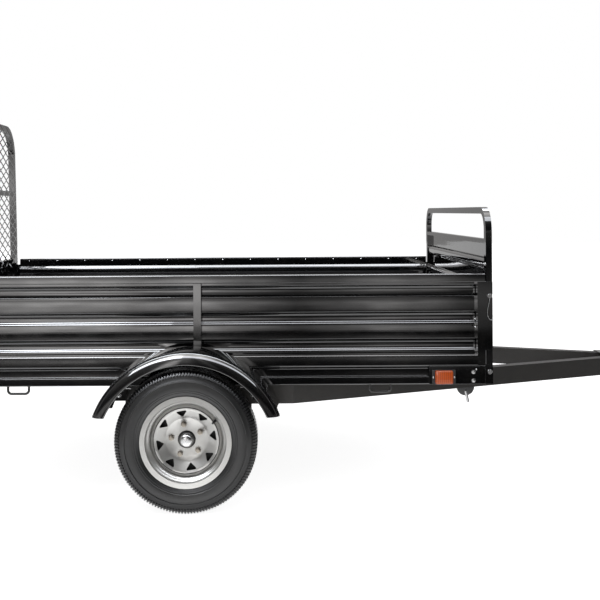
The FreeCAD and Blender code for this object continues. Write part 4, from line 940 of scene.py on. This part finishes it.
class TRAILER_OT_studio(bpy.types.Operator):
    """Pale floor, soft lamps and the camera"""

    bl_idname = "trailer.studio"
    bl_label = "Studio"

    def execute(self, context):
        scene = context.scene
        scene.view_settings.view_transform = "Standard"
        # The camera solved from the photograph's edges
        camera = with_settings(bpy.data.cameras.new("studio_camera"), lens=61.17,
                               sensor_width=36.0, shift_x=0.039, shift_y=-0.1475, clip_end=200.0)
        scene.camera = with_settings(add_object("studio_camera", camera),
                                     location=(-0.2002, -4.6753, 1.1007),
                                     rotation_euler=(math.radians(90.0), 0.0067, 0.0))
        self.floor(scene)
        self.sky(scene)
        # Name, place, aim, size, power and whether the lamp also lights dull surfaces
        for name, place, aim, size, power, falls in (
                ("left_strip", (-2.25, -1.8, 3.3), (-2.25, -0.6, 0.5), (2.7, 1.3), 170.0, False),
                ("right_strip", (1.2, -1.8, 3.3), (1.2, -0.6, 0.5), (4.2, 1.0), 94.0, False),
                ("left_spot", (-1.6, -1.9, 3.2), (-1.0, -0.6, 0.5), (0.8, 0.5), 26.0, True),
                ("far_strip", (-0.4, 0.45, 2.6), (-0.4, 0.76, 0.8), (5.0, 0.9), 170.0, False)):
            lamp = with_settings(bpy.data.lights.new(name, "AREA"), shape="RECTANGLE",
                                 size=size[0], size_y=size[1], energy=power,
                                 color=colour("#F4F8FF")[:3])
            turn = (Vector(aim) - Vector(place)).to_track_quat("-Z", "Y").to_euler()
            with_settings(add_object(name, lamp), location=place, rotation_euler=turn,
                          visible_camera=False, visible_diffuse=falls)
        return {"FINISHED"}

    def floor(self, scene):
        """A wide floor that reads white, keeps the trailer's soft shadow and, in reflections,
        shines most near the wheels."""
        bm = bmesh.new()
        bmesh.ops.create_circle(bm, cap_ends=True, segments=64, radius=30.0)
        bmesh.ops.bisect_plane(bm, geom=all_of(bm), plane_co=(0, -2.5, 0), plane_no=-Y_AXIS,
                               clear_outer=True)
        mesh = bpy.data.meshes.new("studio_floor")
        bm.to_mesh(mesh)
        bm.free()
        add_object("studio_floor", mesh)
        material, tree, out, place = blank_material("white_studio_floor")
        mesh.materials.append(material)
        tint = blend(tree, noise(tree, 0.4, place), scene.trailer_colours.floor, colour("#FFFFFF"))
        matt = node(tree, "ShaderNodeBsdfDiffuse", {"Color": tint}).outputs["BSDF"]
        parts = node(tree, "ShaderNodeSeparateXYZ", {"Vector": place}).outputs
        folded = node(tree, "ShaderNodeCombineXYZ", {"X": parts["X"],
                                                     "Y": maths(tree, "ABSOLUTE", parts["Y"])})
        away = node(tree, "ShaderNodeVectorMath", {0: folded.outputs["Vector"],
                                                   1: (WHEEL_X, 1.3, 0.0)},
                    operation="DISTANCE").outputs["Value"]
        near = ramp(tree, away, ((0.0, 3.0), (0.12, 2.7), (0.22, 1.8), (0.3, 0.8), (0.45, 1.0),
                                 (1.3, 1.2), (1.9, 0.12), (4.0, 0.06), (8.0, 0.04)))
        direct, mirrored = seen_rays(tree)
        glow = node(tree, "ShaderNodeEmission", {"Color": colour("#FFFFFF"),
                                                 "Strength": choose(tree, direct, near, 0.86)})
        both = node(tree, "ShaderNodeAddShader", {0: matt, 1: glow.outputs["Emission"]})
        last = mix_shaders(tree, maths(tree, "MAXIMUM", direct, mirrored), matt,
                           both.outputs["Shader"])
        tree.links.new(last, out.inputs["Surface"])

    def sky(self, scene):
        """White behind the trailer, soft light for dull surfaces, and for shiny ones a studio
        of bright and dark bands."""
        world = bpy.data.worlds.new("studio_world")
        scene.world = world
        world.use_nodes = True
        tree = world.node_tree
        tree.nodes.clear()
        out = node(tree, "ShaderNodeOutputWorld")
        way = node(tree, "ShaderNodeTexCoord").outputs["Generated"]
        parts = node(tree, "ShaderNodeSeparateXYZ", {"Vector": way}).outputs
        height = parts["Z"]
        across = maths(tree, "DIVIDE", parts["X"], parts["Y"])
        # Behind the camera: bands by height, toned from side to side, with one tall window
        front = ramp(tree, height, (
            (-0.30, 0.06), (-0.169, 0.06), (-0.161, 0.08), (-0.1515, 0.12), (-0.148, 0.3),
            (-0.144, 1.3), (-0.140, 0.9), (-0.1355, 0.15), (-0.131, 0.05), (-0.118, 0.05),
            (-0.1145, 0.5), (-0.111, 1.4), (-0.107, 2.0), (-0.0945, 2.0), (-0.087, 3.1),
            (-0.071, 3.4), (-0.05, 1.2), (0.0, 0.2), (0.06, 2.2), (0.13, 2.2), (0.2, 0.2),
            (0.3, 0.2), (0.5, 0.7), (0.8, 0.9)))
        side = ramp(tree, across, (
            (-0.20, 0.12), (-0.18, 0.15), (-0.14, 0.5), (-0.10, 0.65), (-0.06, 0.3), (-0.02, 0.2),
            (0.02, 0.4), (0.065, 0.85), (0.11, 1.0), (0.15, 1.15), (0.30, 1.1), (0.5, 0.4)))
        window = ramp(tree, across, ((0.13, 0.0), (0.18, 3.0), (0.24, 3.5), (0.29, 1.0),
                                     (0.34, 0.0)))
        tall = ramp(tree, height, ((-0.04, 0.0), (0.05, 1.0), (0.5, 0.8), (0.7, 0.0)))
        patches = spread(tree, noise(tree, 0.05, way), 0.3, 0.7, 0.55, 1.45)
        lit_front = maths(tree, "MULTIPLY", maths(
            tree, "MULTIPLY_ADD", window, tall, maths(tree, "MULTIPLY", front, side)), patches)
        # Beyond the trailer, and overhead
        rear = ramp(tree, height, ((-0.3, 0.1), (0.0, 0.3), (0.15, 0.4), (0.5, 0.5), (0.85, 0.8)))
        high = ramp(tree, height, ((0.6, 0.0), (0.9, 0.6), (0.95, 2.0), (0.972, 5.0), (1.0, 5.5)))
        along = ramp(tree, parts["X"], ((-0.27, 2.2), (-0.15, 1.6), (-0.08, 0.9), (0.0, 0.7),
                                        (0.1, 1.0), (0.2, 0.7)))
        level = choose(tree, spread(tree, parts["Y"], -0.05, 0.05), lit_front, rear)
        reflected = maths(tree, "MULTIPLY_ADD", high, along, level)
        white, soft, bands = (
            node(tree, "ShaderNodeBackground", {"Color": colour(code),
                                                "Strength": strength}).outputs["Background"]
            for code, strength in (("#FFFFFF", 1.0), ("#FFFFFF", 0.5), ("#FBF9F8", reflected)))
        direct, mirrored = seen_rays(tree)
        last = mix_shaders(tree, direct, mix_shaders(tree, mirrored, soft, bands), white)
        tree.links.new(last, out.inputs["Surface"])


STEPS = (TRAILER_OT_studio, TRAILER_OT_lanyards, TRAILER_OT_side_panels, TRAILER_OT_rails,
         TRAILER_OT_steelwork, TRAILER_OT_fenders, TRAILER_OT_tyres, TRAILER_OT_hubs,
         TRAILER_OT_front_gate, TRAILER_OT_ramp_mesh, TRAILER_OT_lamps, TRAILER_OT_fasteners)


class TRAILER_PT_looks(bpy.types.Panel):
    """Lists the trailer's pieces, sizes and colours."""

    bl_label = "Trailer"
    bl_idname = "TRAILER_PT_looks"
    bl_space_type = "VIEW_3D"
    bl_region_type = "UI"
    bl_category = "Trailer"

    def draw(self, context):
        column = self.layout.column(align=True)
        for group in (context.scene.trailer_sizes, context.scene.trailer_colours):
            for name in group.__annotations__:
                column.prop(group, name)
        for step in STEPS:
            column.operator(step.bl_idname)


CLASSES = (TrailerSizes, TrailerColours, *STEPS, TRAILER_PT_looks)


def register():
    for kind in CLASSES:
        bpy.utils.register_class(kind)
    bpy.types.Scene.trailer_sizes = bpy.props.PointerProperty(type=TrailerSizes)
    bpy.types.Scene.trailer_colours = bpy.props.PointerProperty(type=TrailerColours)


def unregister():
    del bpy.types.Scene.trailer_colours
    del bpy.types.Scene.trailer_sizes
    for kind in reversed(CLASSES):
        bpy.utils.unregister_class(kind)


def main():
    register()
    for step in STEPS:
        group, name = step.bl_idname.split(".")
        getattr(getattr(bpy.ops, group), name)()


if __name__ == "__main__":
    main()
